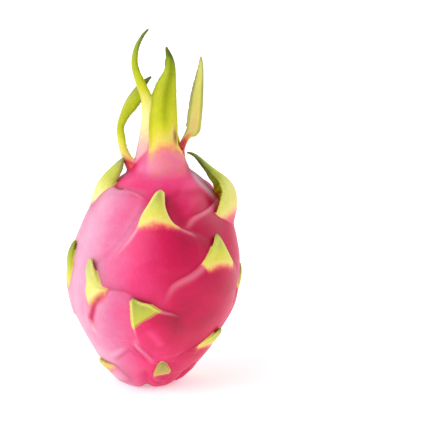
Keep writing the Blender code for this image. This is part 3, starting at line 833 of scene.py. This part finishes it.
    def marks(self, angle, arc):
        """Green at the tip, then yellow, then pink, with a pale line along the margins, partly a painted
        highlight.
        """
        scale = self.scale
        across, down, side, place = self.read(angle, arc)
        away = np.maximum(np.abs(across) - scale.leaf_width, 0)
        tongue = scale.tongue * (1 - np.minimum(place**2, 1)) * smoothstep(down / scale.yellow)
        ripe = down + self.SIDE_RIPENING * away + scale.slant * across + tongue
        stops = (0, self.GREEN_MIDDLE * scale.green, scale.green, scale.yellow,
                 scale.yellow + self.TURN_MIDDLE * scale.turn, scale.yellow + scale.turn)
        ripeness = np.interp(ripe, stops, self.RIPENESS)
        reach = np.where(place < 0, *scale.lines)
        ends = smoothstep((reach - down) / np.maximum(self.LINE_END * reach, 1))
        line = bump(side / scale.line_width, self.LINE_PLACE, 1) * ends * smoothstep(down / self.LINE_START)
        rim = scale.line_light * line
        leafy = 1 - smoothstep(ripeness, *self.LEAFY_END)
        turning = bump(ripeness, *self.RED_BAND) * (1 - smoothstep(ripeness, *self.RED_END))
        marks = {
            "ripeness": ripeness,
            "rim": rim,
            "shade": scale.band_shade * turning * (1 - rim),
            "dry": scale.dry * leafy,
            "pale": scale.pale * leafy,
        }
        return marks, streak_place(across, down, SCALE_GRAIN)

    def tint(self, angle, arc):
        """How much the scale's own skin moves the tone, fading towards its root."""
        up = self.scale.length - self.across_and_down(angle, arc)[1]
        return self.scale.tone * smoothstep(up / (self.TINT_END * self.scale.length))

    def shadow(self, angle, arc):
        """Painted shadow: the deep crimson just outside the margins."""
        down, side, place = self.read(angle, arc)[1:]
        strength = np.where(place < 0, *self.scale.shades)
        strength = strength * np.exp(-np.maximum(side, 0) / self.scale.shade_width)
        fading = 1 - smoothstep(down, self.SHADOW_FULL, self.scale.fade)
        return strength * fading * smoothstep(down, *self.SHADOW_START)


SHAPES = [ScaleShape(scale) for scale in spiral_scales()]
NECK = smooth_curve(NECK_RINGS, NECK_STEPS)


def neck_distance(points):
    """Distance to the neck with the dish of the flower scar and the dry stub in it."""
    x, y, z = points.T
    x = x - LEAN * z
    heights, radii = NECK[:, 0], NECK[:, 1]
    wall, right, back = [np.interp(z, heights, NECK[:, i]) for i in (1, 2, 3)]
    slope = np.interp(z, heights, np.gradient(radii, heights))
    side = (np.hypot(x - right, y - back) - wall) / np.sqrt(1 + slope**2)
    radius = np.hypot(x, y)
    dish = NECK_TOP - SCAR_DEPTH * (1 - smoothstep(radius, *SCAR_WALL))
    neck = np.maximum(soft_max(side, z - dish, NECK_ROUNDING), heights[0] - z)
    stub = soft_max(radius - STUB_RADIUS, z - STUB_TOP, STUB_ROUNDING)
    return soft_min(neck, np.maximum(stub, STUB_BOTTOM - z), NECK_ROUNDING)


def neck_marks(points):
    """Pink skin outside with painted light and shade, and the dry brown scar of the flower on top."""
    x, y, z = points.T
    turn = np.arctan2(y, x - LEAN * z)
    radius = np.hypot(x - LEAN * z, y)
    tone = look_up(NECK_TONE_AND_LIGHT, np.degrees(turn), period=360)
    tone = tone + (PLAIN_TONE - tone) * (1 - smoothstep(z, *NECK_PLAIN))
    across = (x - MOUND_PLACE) / MOUND_HALF
    high = z + np.where(across > 0, *MOUND_DROPS) * across**2
    front = smoothstep(-y / MOUND_DEPTH) * smoothstep(x, *MOUND_LEFT)
    ripe = 1 + (look_up(MOUND_RIPENESS, high) - 1) * front
    # Own red and painted shade at the far left leaf's root
    red_root = bump(np.mod(np.degrees(turn), 360), *RED_ROOT_ANGLE) * bump(z, *RED_ROOT_HEIGHT)
    marks = {
        "ripeness": ripe + RED_ROOT_RIPENESS * red_root,
        "tone": tone + RED_ROOT_TONE * red_root,
        "shade": RED_ROOT_SHADE * red_root,
        # Painted highlight on the mound's front
        "rim": MOUND_LIGHT * front * smoothstep(z, *MOUND_LIGHT_START),
        "dry": smoothstep(z, *SCAR_START) * (1 - smoothstep(radius, *SCAR_EDGE)),
    }
    return marks, streak_place(turn, z, NECK_GRAIN)


class Blade:
    """A leaf's keel line as tables, and the distance to the bent blade round it."""

    # Rounds of the search for the nearest place on the keel, and how far off the blade is looked for
    ROUNDS = 10
    GAP = 4
    # How far past its edges a blade is still read, in half widths, for its shape and for its skin
    SHAPE_REACH = 1.4
    SKIN_REACH = 1.2
    # By ripeness: where the green and the yellow end, and where the painted highlight on the root starts
    GREEN_END = (0.45, 0.2)
    LEAFY_END = (0.68, 0.16)
    ROOT_HIGHLIGHT_START = (0.8, 0.15)
    # Across the leaf: the vein, the riper skin beside it, the edge's width and the red root's edge
    VEIN = (0.6, 1.7)
    VEIN_SIDE = (2.5, 3)
    VEIN_SIDE_PART = 0.5
    EDGE_WIDTH = 0.22
    RED_START = (0.4, 0.3)
    INNER_BLEND = 0.5
    DRY_TIP = 0.5
    DRY_TIP_LENGTH = 2.5
    CRACK_DRY = 0.7

    def __init__(self, leaf):
        self.leaf = leaf
        self.line = smooth_curve(leaf.line, LEAF_STEPS)
        widths = [(0, width) for width in (*leaf.half_widths, TIP_WIDTH)]
        self.width = smooth_curve(widths, LEAF_STEPS)[:, 1]
        self.along = unit(np.gradient(self.line, axis=0))
        self.side = unit(np.cross(self.along, np.array(leaf.outward)))
        self.out = np.cross(self.side, self.along)
        self.arc = lengths_along(self.line)
        self.length = self.arc[-1]
        reach = max(leaf.half_widths) * (1 + leaf.cup) + self.GAP
        self.low = self.line.min(axis=0) - reach
        self.high = self.line.max(axis=0) + reach

    def offset(self, points, arc, ways):
        """How far points lie from the keel at their arc, in one of the blade's ways."""
        line, way = [columns(*[np.interp(arc, self.arc, part) for part in table.T])
                     for table in (self.line, ways)]
        return np.einsum("ij,ij->i", points - line, way)

    def read(self, points, reach):
        """Distances along, past and across the keel, place between the edges, height, half width, cup."""
        arc = np.interp(points[:, 2], self.line[:, 2], self.arc)
        for _ in range(self.ROUNDS):
            arc = np.clip(arc + self.offset(points, arc, self.along), 0, self.length)
        past, across, out = [self.offset(points, arc, ways) for ways in (self.along, self.side, self.out)]
        width = np.interp(arc, self.arc, self.width)
        place = np.clip(across / width, -reach, reach)
        cup = self.leaf.cup * np.minimum(width / FULL_CUP_WIDTH, 1)
        return arc, past, across, place, out + 2 * cup * width * place**2, width, cup

    def distance(self, points):
        """Distance to the blade, and the place along its keel."""
        arc, past, across, place, over, width, cup = self.read(points, self.SHAPE_REACH)
        lean = 1 / np.sqrt(1 + (4 * cup * place) ** 2)
        thickness = self.leaf.thickness * (1 - LEAF_TIP_THINNING * arc / self.length) / 2
        rim = thickness * LEAF_ROUNDING
        flat = np.abs(over) * lean
        inside = flat - thickness * (1 - LEAF_EDGE_THINNING * np.minimum(place**2, 1))
        beyond = np.maximum(np.abs(across) - (width - rim), 0)
        edge = np.hypot(beyond / np.maximum(lean, LEAST_LEAN), flat) - rim
        blade = np.where(beyond > 0, edge, inside)
        return np.hypot(np.maximum(blade, 0), past) + np.minimum(blade, 0), arc

    def patch(self, shape, z, place):
        """A soft patch of the leaf, by its height, its place across and its reach both ways."""
        height, spread, middle, reach, amount = shape
        return amount * bump(z, height, spread) * bump(place, middle, reach)

    def marks(self, points):
        """Green at the tip, yellow, then pink at the root, with a dark vein down the middle and a painted
        highlight at the root.
        """
        leaf = self.leaf
        arc, past, across, place, over, width, cup = self.read(points, self.SKIN_REACH)
        z = points[:, 2] + leaf.arch * place**2
        ripeness = look_up(leaf.ripeness, z)
        green = 1 - smoothstep(ripeness, *self.GREEN_END)
        inner = smoothstep(0.5 - over / self.INNER_BLEND)
        edge = smoothstep(np.abs(place), leaf.edge_start, self.EDGE_WIDTH)
        vein = bump(across, *self.VEIN) - self.VEIN_SIDE_PART * smoothstep(across, *self.VEIN_SIDE)
        ripeness = ripeness - leaf.vein * vein * green
        leafy = 1 - smoothstep(ripeness, *self.LEAFY_END)
        ripeness = ripeness + leaf.inner * inner * green + leaf.edge * edge * leafy
        ripeness = ripeness + self.patch(leaf.blush, z, place)
        crack = self.patch(leaf.crack, z, place)
        red_edge = leaf.red_edge * smoothstep(np.abs(place), *self.RED_START) * (1 - leafy)
        dry_tip = self.DRY_TIP * smoothstep(arc, self.length - self.DRY_TIP_LENGTH, self.DRY_TIP_LENGTH)
        marks = {
            "ripeness": ripeness,
            "shade": np.maximum(red_edge, crack),
            "rim": leaf.root_highlight * smoothstep(ripeness, *self.ROOT_HIGHLIGHT_START),
            "tone": leaf.tone,
            "pale": look_up(leaf.pale, z) * (1 - inner) + leaf.inner_pale * inner * leafy,
            "dry": np.maximum(dry_tip, self.CRACK_DRY * crack),
        }
        return marks, streak_place(across, arc, (*LEAF_GRAIN, self.line[0, 0]))


BLADES = {name: Blade(leaf) for name, leaf in LEAVES.items()}


class Paint:
    """The skin's marks at each point, mixed from part to part as the surface itself is."""

    # rim holds pale lines and painted highlights, shade painted shade with some darker own colour, tone
    # painted light too
    NAMES = ("ripeness", "tone", "rim", "shade", "pale", "dry")

    def __init__(self, count):
        self.values = {name: np.zeros(count) for name in self.NAMES}
        self.grain = np.zeros((count, 3))

    def mix(self, where, share, marks, grain, keep=()):
        """Puts a part's marks over what is there, by its share of each point."""
        for name in self.NAMES:
            if name not in keep:
                old = self.values[name][where]
                self.values[name][where] = old + (marks.get(name, 0) - old) * share
        self.grain[where] = np.where((share > 0.5)[:, None], grain, self.grain[where])

    def deepen(self, name, where, value):
        self.values[name][where] = np.maximum(self.values[name][where], value)

    def add_body(self, points, angle, arc):
        count = len(points)
        self.mix(np.arange(count), np.ones(count), *BODY.marks(points, angle, arc))

    def add_folds(self, angle, arc):
        for fold in FOLDS:
            near, strength = BODY.fold_strength(fold, angle, arc)
            # Painted shade and paler skin along the folds, with their painted light carried in the tone
            self.deepen("shade", near, fold.shade * strength)
            self.deepen("pale", near, fold.pale * strength)
            self.values["tone"][near] += FOLD_LIGHT * fold.light * strength

    def add_scale(self, shape, near, angle, arc, ahead):
        """Ahead is how far the scale's own surface lies outside what was there."""
        share = smoothstep(0.5 + ahead / SCALE_PAINT)
        # Painted shadow on the skin just outside the scale's margins
        self.deepen("shade", near, shape.shadow(angle, arc) * (1 - share))
        self.mix(near, share, *shape.marks(angle, arc), keep=("tone",))
        self.values["tone"][near] += shape.tint(angle, arc) * share

    def add_neck(self, points, near, ahead):
        self.mix(near, smoothstep(0.5 + ahead / NECK_PAINT), *neck_marks(points))

    def add_blade(self, blade, points, near, own, ahead):
        share = smoothstep(0.5 + ahead / LEAF_PAINT)
        # Painted shade on the skin round the leaf
        contact_shadow = blade.leaf.contact_shadow * np.exp(-np.maximum(own, 0) / CONTACT_WIDTH)
        self.deepen("shade", near, contact_shadow * (1 - share))
        self.mix(near, share, *blade.marks(points))


def read_fruit(points, paint=None):
    """Signed distance, nearly, from the whole fruit's surface: below nought inside."""
    angle, arc, height, facing = BODY.read(points)
    relief = BODY.relief(angle, arc)
    field = (height - relief) * facing
    if paint:
        paint.add_body(points, angle, arc)
    for shape in SHAPES:
        near = np.flatnonzero(shape.near(angle, arc))
        own = shape.distance(angle[near], arc[near], height[near], facing[near], relief[near])
        if paint:
            paint.add_scale(shape, near, angle[near], arc[near], field[near] - own)
        blend = between(SCALE_BLENDS, smoothstep((shape.scale.tip - arc[near]) / shape.scale.fade))
        field[near] = soft_min(field[near], own, blend)
    if paint:
        paint.add_folds(angle, arc)
    high = np.flatnonzero(points[:, 2] > UPPER_HEIGHT)
    neck = neck_distance(points[high])
    if paint:
        paint.add_neck(points[high], high, field[high] - neck)
    field[high] = soft_min(field[high], neck, NECK_BLEND)
    for blade in BLADES.values():
        near = high[((points[high] > blade.low) & (points[high] < blade.high)).all(axis=1)]
        own, along = blade.distance(points[near])
        if paint:
            paint.add_blade(blade, points[near], near, own, field[near] - own)
        blend = between(LEAF_BLENDS, smoothstep(along / blade.leaf.root))
        field[near] = soft_min(field[near], own, blend)
    return soft_max(field, -points[:, 2], FLAT_ROUNDING)


def read_in_chunks(points):
    return np.concatenate([read_fruit(points[i:i + CHUNK]) for i in range(0, len(points), CHUNK)])


def grid_places(*axes):
    """Every place of a grid, one in each row."""
    return np.stack(np.meshgrid(*axes, indexing="ij"), axis=-1).reshape(-1, 3)


def read_grid():
    """The field on a regular grid: exact in a band round the surface, rough elsewhere."""
    coarse = VOXEL * COARSE_STEPS
    counts = np.ceil((GRID_HIGH - GRID_LOW) / coarse).astype(int)
    axes = [low + coarse * (np.arange(count) + 0.5) for low, count in zip(GRID_LOW, counts)]
    rough = read_in_chunks(grid_places(*axes)).reshape(counts)
    field = rough.astype(np.float32)
    for axis in range(3):
        field = np.repeat(field, COARSE_STEPS, axis=axis)
    cells = np.argwhere(np.abs(rough) < BAND) * COARSE_STEPS
    inner = grid_places(*[np.arange(COARSE_STEPS)] * 3)
    nodes = (cells[:, None, :] + inner[None]).reshape(-1, 3)
    field[tuple(nodes.T)] = read_in_chunks(GRID_LOW + VOXEL * (nodes + 0.5))
    return field


# The grid's three ways, a cell's corners, and the pairs of them that its edges join
WAYS = np.eye(3, dtype=int)
CORNERS = np.array([((c >> 2) & 1, (c >> 1) & 1, c & 1) for c in range(8)])
EDGES = [(a, b) for a in range(8) for b in range(a) if np.abs(CORNERS[a] - CORNERS[b]).sum() == 1]


def net_vertices(field):
    """The cells that the surface runs through, and a vertex in each of them."""
    shape = np.array(field.shape) - 1
    count = np.zeros(shape, np.uint8)
    for x, y, z in CORNERS:
        count += field[x:shape[0] + x, y:shape[1] + y, z:shape[2] + z] < 0
    cells = np.argwhere((count > 0) & (count < 8))
    values = np.stack([field[tuple((cells + corner).T)] for corner in CORNERS], axis=1)
    total = np.zeros((len(cells), 3))
    hits = np.zeros(len(cells))
    for a, b in EDGES:
        start, end = values[:, a], values[:, b]
        cross = (start < 0) != (end < 0)
        share = np.where(cross, start / np.where(cross, start - end, 1), 0)[:, None]
        total += np.where(cross[:, None], CORNERS[a] + (CORNERS[b] - CORNERS[a]) * share, 0)
        hits += cross
    return cells, GRID_LOW + VOXEL * (cells + 0.5 + total / hits[:, None])


def surface_nets(field):
    """Vertices and quads of the surface where the field crosses nought."""
    cells, vertices = net_vertices(field)
    number = np.full(np.array(field.shape) - 1, -1, np.int32)
    number[tuple(cells.T)] = np.arange(len(cells))
    inside = (field < 0).astype(np.int8)
    quads = []
    for axis in range(3):
        u, v = (axis + 1) % 3, (axis + 2) % 3
        change = np.diff(inside, axis=axis)
        for way in (-1, 1):
            hit = np.argwhere(change == way)
            hit = hit[(hit[:, u] > 0) & (hit[:, v] > 0)]
            around = [number[tuple((hit - du * WAYS[u] - dv * WAYS[v]).T)]
                      for du, dv in ((1, 1), (0, 1), (0, 0), (1, 0))]
            quads.append(np.stack(around[::-way], axis=1))
    return vertices, np.concatenate(quads)


def settle(points):
    """Moves points onto the surface, by a short way at most."""
    slopes = []
    for move in SLOPE_STEP * WAYS:
        slopes.append((read_in_chunks(points + move) - read_in_chunks(points - move)) / (2 * SLOPE_STEP))
    gradient = columns(*slopes)
    move = read_in_chunks(points) / np.maximum((gradient**2).sum(axis=1), LEAST_SLOPE)
    return points - gradient * np.clip(move, -MOST_MOVE, MOST_MOVE)[:, None]


def add_object(name, data):
    obj = bpy.data.objects.new(name, data)
    bpy.context.scene.collection.objects.link(obj)
    return obj


def add_marks(data, vertices):
    """Stores the skin's marks on the mesh, for the material to read."""
    paint = Paint(len(vertices))
    read_fruit(vertices, paint)
    for name, values in paint.values.items():
        layer = data.attributes.new(name, "FLOAT", "POINT")
        layer.data.foreach_set("value", np.clip(values, 0, 1).astype(np.float32))
    layer = data.attributes.new("grain", "FLOAT_VECTOR", "POINT")
    layer.data.foreach_set("vector", paint.grain.astype(np.float32).ravel())


def make_fruit():
    vertices, quads = surface_nets(read_grid())
    vertices = settle(vertices)
    data = bpy.data.meshes.new("dragon_fruit_skin")
    data.from_pydata(vertices * MM, [], quads)
    data.validate()
    data.shade_smooth()
    add_marks(data, vertices)
    data.materials.append(skin_material())
    return add_object("dragon_fruit_skin", data)


def colour(red, green, blue):
    """A colour for a shader from its everyday 0 to 255 values."""
    parts = []
    for value in (red, green, blue):
        part = value / 255
        parts.append(part / 12.92 if part <= 0.04045 else ((part + 0.055) / 1.055) ** 2.4)
    return (*parts, 1)


class Graph:
    """Short calls for building a material's nodes."""

    def __init__(self, name):
        self.material = bpy.data.materials.new(name)
        self.material.use_nodes = True
        self.tree = self.material.node_tree

    def finish(self, inputs):
        """Gives the shader its inputs, by their names."""
        for name, value in inputs.items():
            self.feed(self.tree.nodes["Principled BSDF"].inputs[name], value)
        return self.material

    def add(self, kind, inputs, output=0, **settings):
        node = self.tree.nodes.new(kind)
        for name, value in settings.items():
            setattr(node, name, value)
        for key, value in inputs.items():
            self.feed(node.inputs[key], value)
        return node.outputs[output]

    def feed(self, socket, value):
        if isinstance(value, bpy.types.NodeSocket):
            self.tree.links.new(value, socket)
        else:
            socket.default_value = value

    def mark(self, name, output="Fac"):
        return self.add("ShaderNodeAttribute", {}, output, attribute_name=name)

    def maths(self, operation, a, b, clamp=False):
        return self.add("ShaderNodeMath", {0: a, 1: b}, operation=operation, use_clamp=clamp)

    def mix(self, share, a, b, blend="MIX"):
        return self.add("ShaderNodeMix", {0: share, 6: a, 7: b}, 2, data_type="RGBA", blend_type=blend)

    def between(self, value, low, high):
        """0 at the low value and 1 at the high one, smooth between."""
        return self.add("ShaderNodeMapRange", {0: value, 1: low, 2: high, 3: 0, 4: 1},
                        interpolation_type="SMOOTHSTEP")

    def ramp(self, value, stops):
        """Each stop is its place and its colour's red, green and blue."""
        output = self.add("ShaderNodeValToRGB", {0: value})
        band = output.node.color_ramp
        while len(band.elements) < len(stops):
            band.elements.new(0.5)
        for element, (place, *tint) in zip(band.elements, stops):
            element.position = place
            element.color = colour(*tint)
        return output

    def noise(self, place, scale, detail, roughness=0.5):
        inputs = {"Vector": place, "Scale": scale, "Detail": detail, "Roughness": roughness}
        return self.add("ShaderNodeTexNoise", inputs)

    def shift(self, value, *noises):
        """The value moved up and down by noises that lie round a half, each by its amount."""
        for noise, amount in noises:
            move = self.maths("MULTIPLY", self.maths("SUBTRACT", noise, 0.5), amount)
            value = self.maths("ADD", value, move)
        return value


LEAF_STOPS = ((0, 84, 104, 14), (0.12, 134, 150, 8), (0.3, 178, 186, 4), (0.45, 203, 206, 26),
              (0.6, 224, 211, 58), (0.72, 234, 216, 98), (0.82, 250, 184, 104), (0.9, 244, 110, 96),
              (1, 234, 58, 98))
PINK_STOPS = ((0, 160, 2, 50), (0.25, 208, 12, 80), (0.5, 232, 58, 122), (0.75, 222, 110, 154),
              (1, 224, 160, 188))
PALE_LEAF = colour(246, 240, 180)
PALE_SKIN = colour(246, 192, 196)
LINE_AND_HIGHLIGHT_LEAF = colour(236, 226, 120)
LINE_AND_HIGHLIGHT_SKIN = colour(248, 150, 170)
CRIMSON = colour(150, 8, 40)
DRY_DARK = colour(96, 70, 40)
DRY_LIGHT = colour(150, 116, 70)
# From which to which ripeness the leaf's colours turn into the skin's
SKIN_TURN = (0.8, 1)
PALE_TURN = (0.7, 0.92)
LINE_AND_HIGHLIGHT_TURN = (0.75, 1)
SHADE_PART = 0.75
PLAIN_ROUGHNESS = 0.42
DRY_ROUGHNESS = 0.35
RELIEF_STRENGTH = 0.35
RELIEF_HEIGHT = 0.0006
SKIN_FINISH = {
    "Subsurface Weight": 0.15,
    "Subsurface Radius": (1, 0.35, 0.25),
    "Subsurface Scale": 0.003,
    "Specular IOR Level": 0.24,
    "Coat Weight": 0.06,
    "Coat Roughness": 0.28,
}


def skin_material():
    graph = Graph("dragon_fruit_skin")
    place = graph.add("ShaderNodeTexCoord", {}, "Object")
    patches = graph.noise(place, scale=45, detail=2)
    mottle = graph.noise(place, scale=260, detail=4, roughness=0.6)
    pores = graph.noise(place, scale=1400, detail=2)
    streaks = graph.noise(graph.mark("grain", "Vector"), scale=1.6, detail=4, roughness=0.6)

    ripeness = graph.shift(graph.mark("ripeness"), (mottle, 0.15), (streaks, 0.12))
    tone = graph.shift(graph.mark("tone"), (patches, 0.35), (mottle, 0.16))
    base = graph.mix(graph.between(ripeness, *SKIN_TURN), graph.ramp(ripeness, LEAF_STOPS),
                     graph.ramp(tone, PINK_STOPS))
    pale_tint = graph.mix(graph.between(ripeness, *PALE_TURN), PALE_LEAF, PALE_SKIN)
    base = graph.mix(graph.mark("pale"), base, pale_tint)
    # Pale lines of the skin's own and painted highlights, on the margins, the mound and a leaf's root
    line_and_highlight_tint = graph.mix(graph.between(ripeness, *LINE_AND_HIGHLIGHT_TURN), LINE_AND_HIGHLIGHT_LEAF, LINE_AND_HIGHLIGHT_SKIN)
    base = graph.mix(graph.mark("rim"), base, line_and_highlight_tint)
    # Painted shade and shadow towards crimson, with the darker own colour of some bands and edges
    base = graph.mix(graph.maths("MULTIPLY", graph.mark("shade"), SHADE_PART), base, CRIMSON)
    base = graph.mix(graph.mark("dry"), base, graph.mix(mottle, DRY_DARK, DRY_LIGHT))
    depth = graph.shift(1, (streaks, 0.22), (pores, 0.1))
    grey = graph.add("ShaderNodeCombineColor", {0: depth, 1: depth, 2: depth})
    base = graph.mix(1, base, grey, "MULTIPLY")

    dry = graph.maths("MULTIPLY", graph.mark("dry"), DRY_ROUGHNESS)
    rough = graph.shift(PLAIN_ROUGHNESS, (mottle, 0.2), (streaks, 0.12))
    rough = graph.maths("ADD", rough, dry, clamp=True)
    relief = graph.shift(0, (streaks, 0.5), (pores, 0.12), (mottle, 0.4))
    bumps = {"Strength": RELIEF_STRENGTH, "Distance": RELIEF_HEIGHT, "Height": relief}
    normal = graph.add("ShaderNodeBump", bumps)
    return graph.finish({"Base Color": base, "Roughness": rough, "Normal": normal, **SKIN_FINISH})


FLOOR_SIZE = 16
FLOOR_FINISH = {
    "Base Color": (0.9, 0.9, 0.9, 1),
    "Roughness": 0.9,
    "Emission Color": (1, 1, 1, 1),
    "Emission Strength": 0.36,
}


def make_floor():
    bpy.ops.mesh.primitive_plane_add(size=FLOOR_SIZE)
    floor = bpy.context.object
    floor.name = "floor"
    floor.data.materials.append(Graph("floor_white").finish(FLOOR_FINISH))
    floor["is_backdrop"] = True


# Camera: as far off as the photograph's, a little above the fruit, with the fruit left of the middle
CAMERA_DISTANCE = 0.9
CAMERA_RISE = math.radians(10)
CAMERA_START = 0.05
FRAME_WIDTH = 0.2235
SENSOR = 36
# The picture's middle, right of the fruit's foot and up the picture from it
FRAME_RIGHT = 0.03825
FRAME_UP = 0.08015
# The height on the fruit's axis that the distance is measured to
AIM_HEIGHT = 0.085


def towards(way):
    """The turn of a camera or a light that looks this way."""
    return way.to_track_quat("-Z", "Y").to_euler()


def make_camera():
    data = bpy.data.cameras.new("camera")
    data.sensor_width = SENSOR
    data.lens = SENSOR * CAMERA_DISTANCE / FRAME_WIDTH
    data.clip_start = CAMERA_START
    rise, level = math.sin(CAMERA_RISE), math.cos(CAMERA_RISE)
    view = Vector((0, level, -rise))
    centre = Vector((FRAME_RIGHT, 0, 0)) + FRAME_UP * Vector((0, rise, level))
    camera = add_object("camera", data)
    camera.location = centre - view * (CAMERA_DISTANCE + AIM_HEIGHT * rise)
    camera.rotation_euler = towards(view)
    bpy.context.scene.camera = camera


# Suns: the way that each one's light comes from, its strength and how wide it looks in degrees
SUNS = {
    "key": ((-0.75, -0.6, 0.75), 1.65, 60),
    "side": ((-0.9, 0.35, 0.4), 0.6, 30),
    "rim": ((0.9, 0.4, 0.6), 1, 40),
}
WORLD_LIGHT = 0.5


def make_light():
    world = bpy.data.worlds.new("studio")
    bpy.context.scene.world = world
    world.use_nodes = True
    background = world.node_tree.nodes["Background"].inputs
    background["Color"].default_value = (1, 1, 1, 1)
    background["Strength"].default_value = WORLD_LIGHT
    for name, (origin, strength, width) in SUNS.items():
        data = bpy.data.lights.new(name, "SUN")
        data.energy = strength
        data.angle = math.radians(width)
        sun = add_object(name, data)
        sun.location = origin
        sun.rotation_euler = towards(-Vector(origin))


fruit = make_fruit()
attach(fruit, "root")
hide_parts("dragon_fruit")
make_floor()
make_camera()
make_light()
bpy.context.scene.view_settings.view_transform = "Standard"

sizes = {"cad": cad_bounds, "visual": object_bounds()}
[[list(corner) for corner in box] for box in sizes.values()]
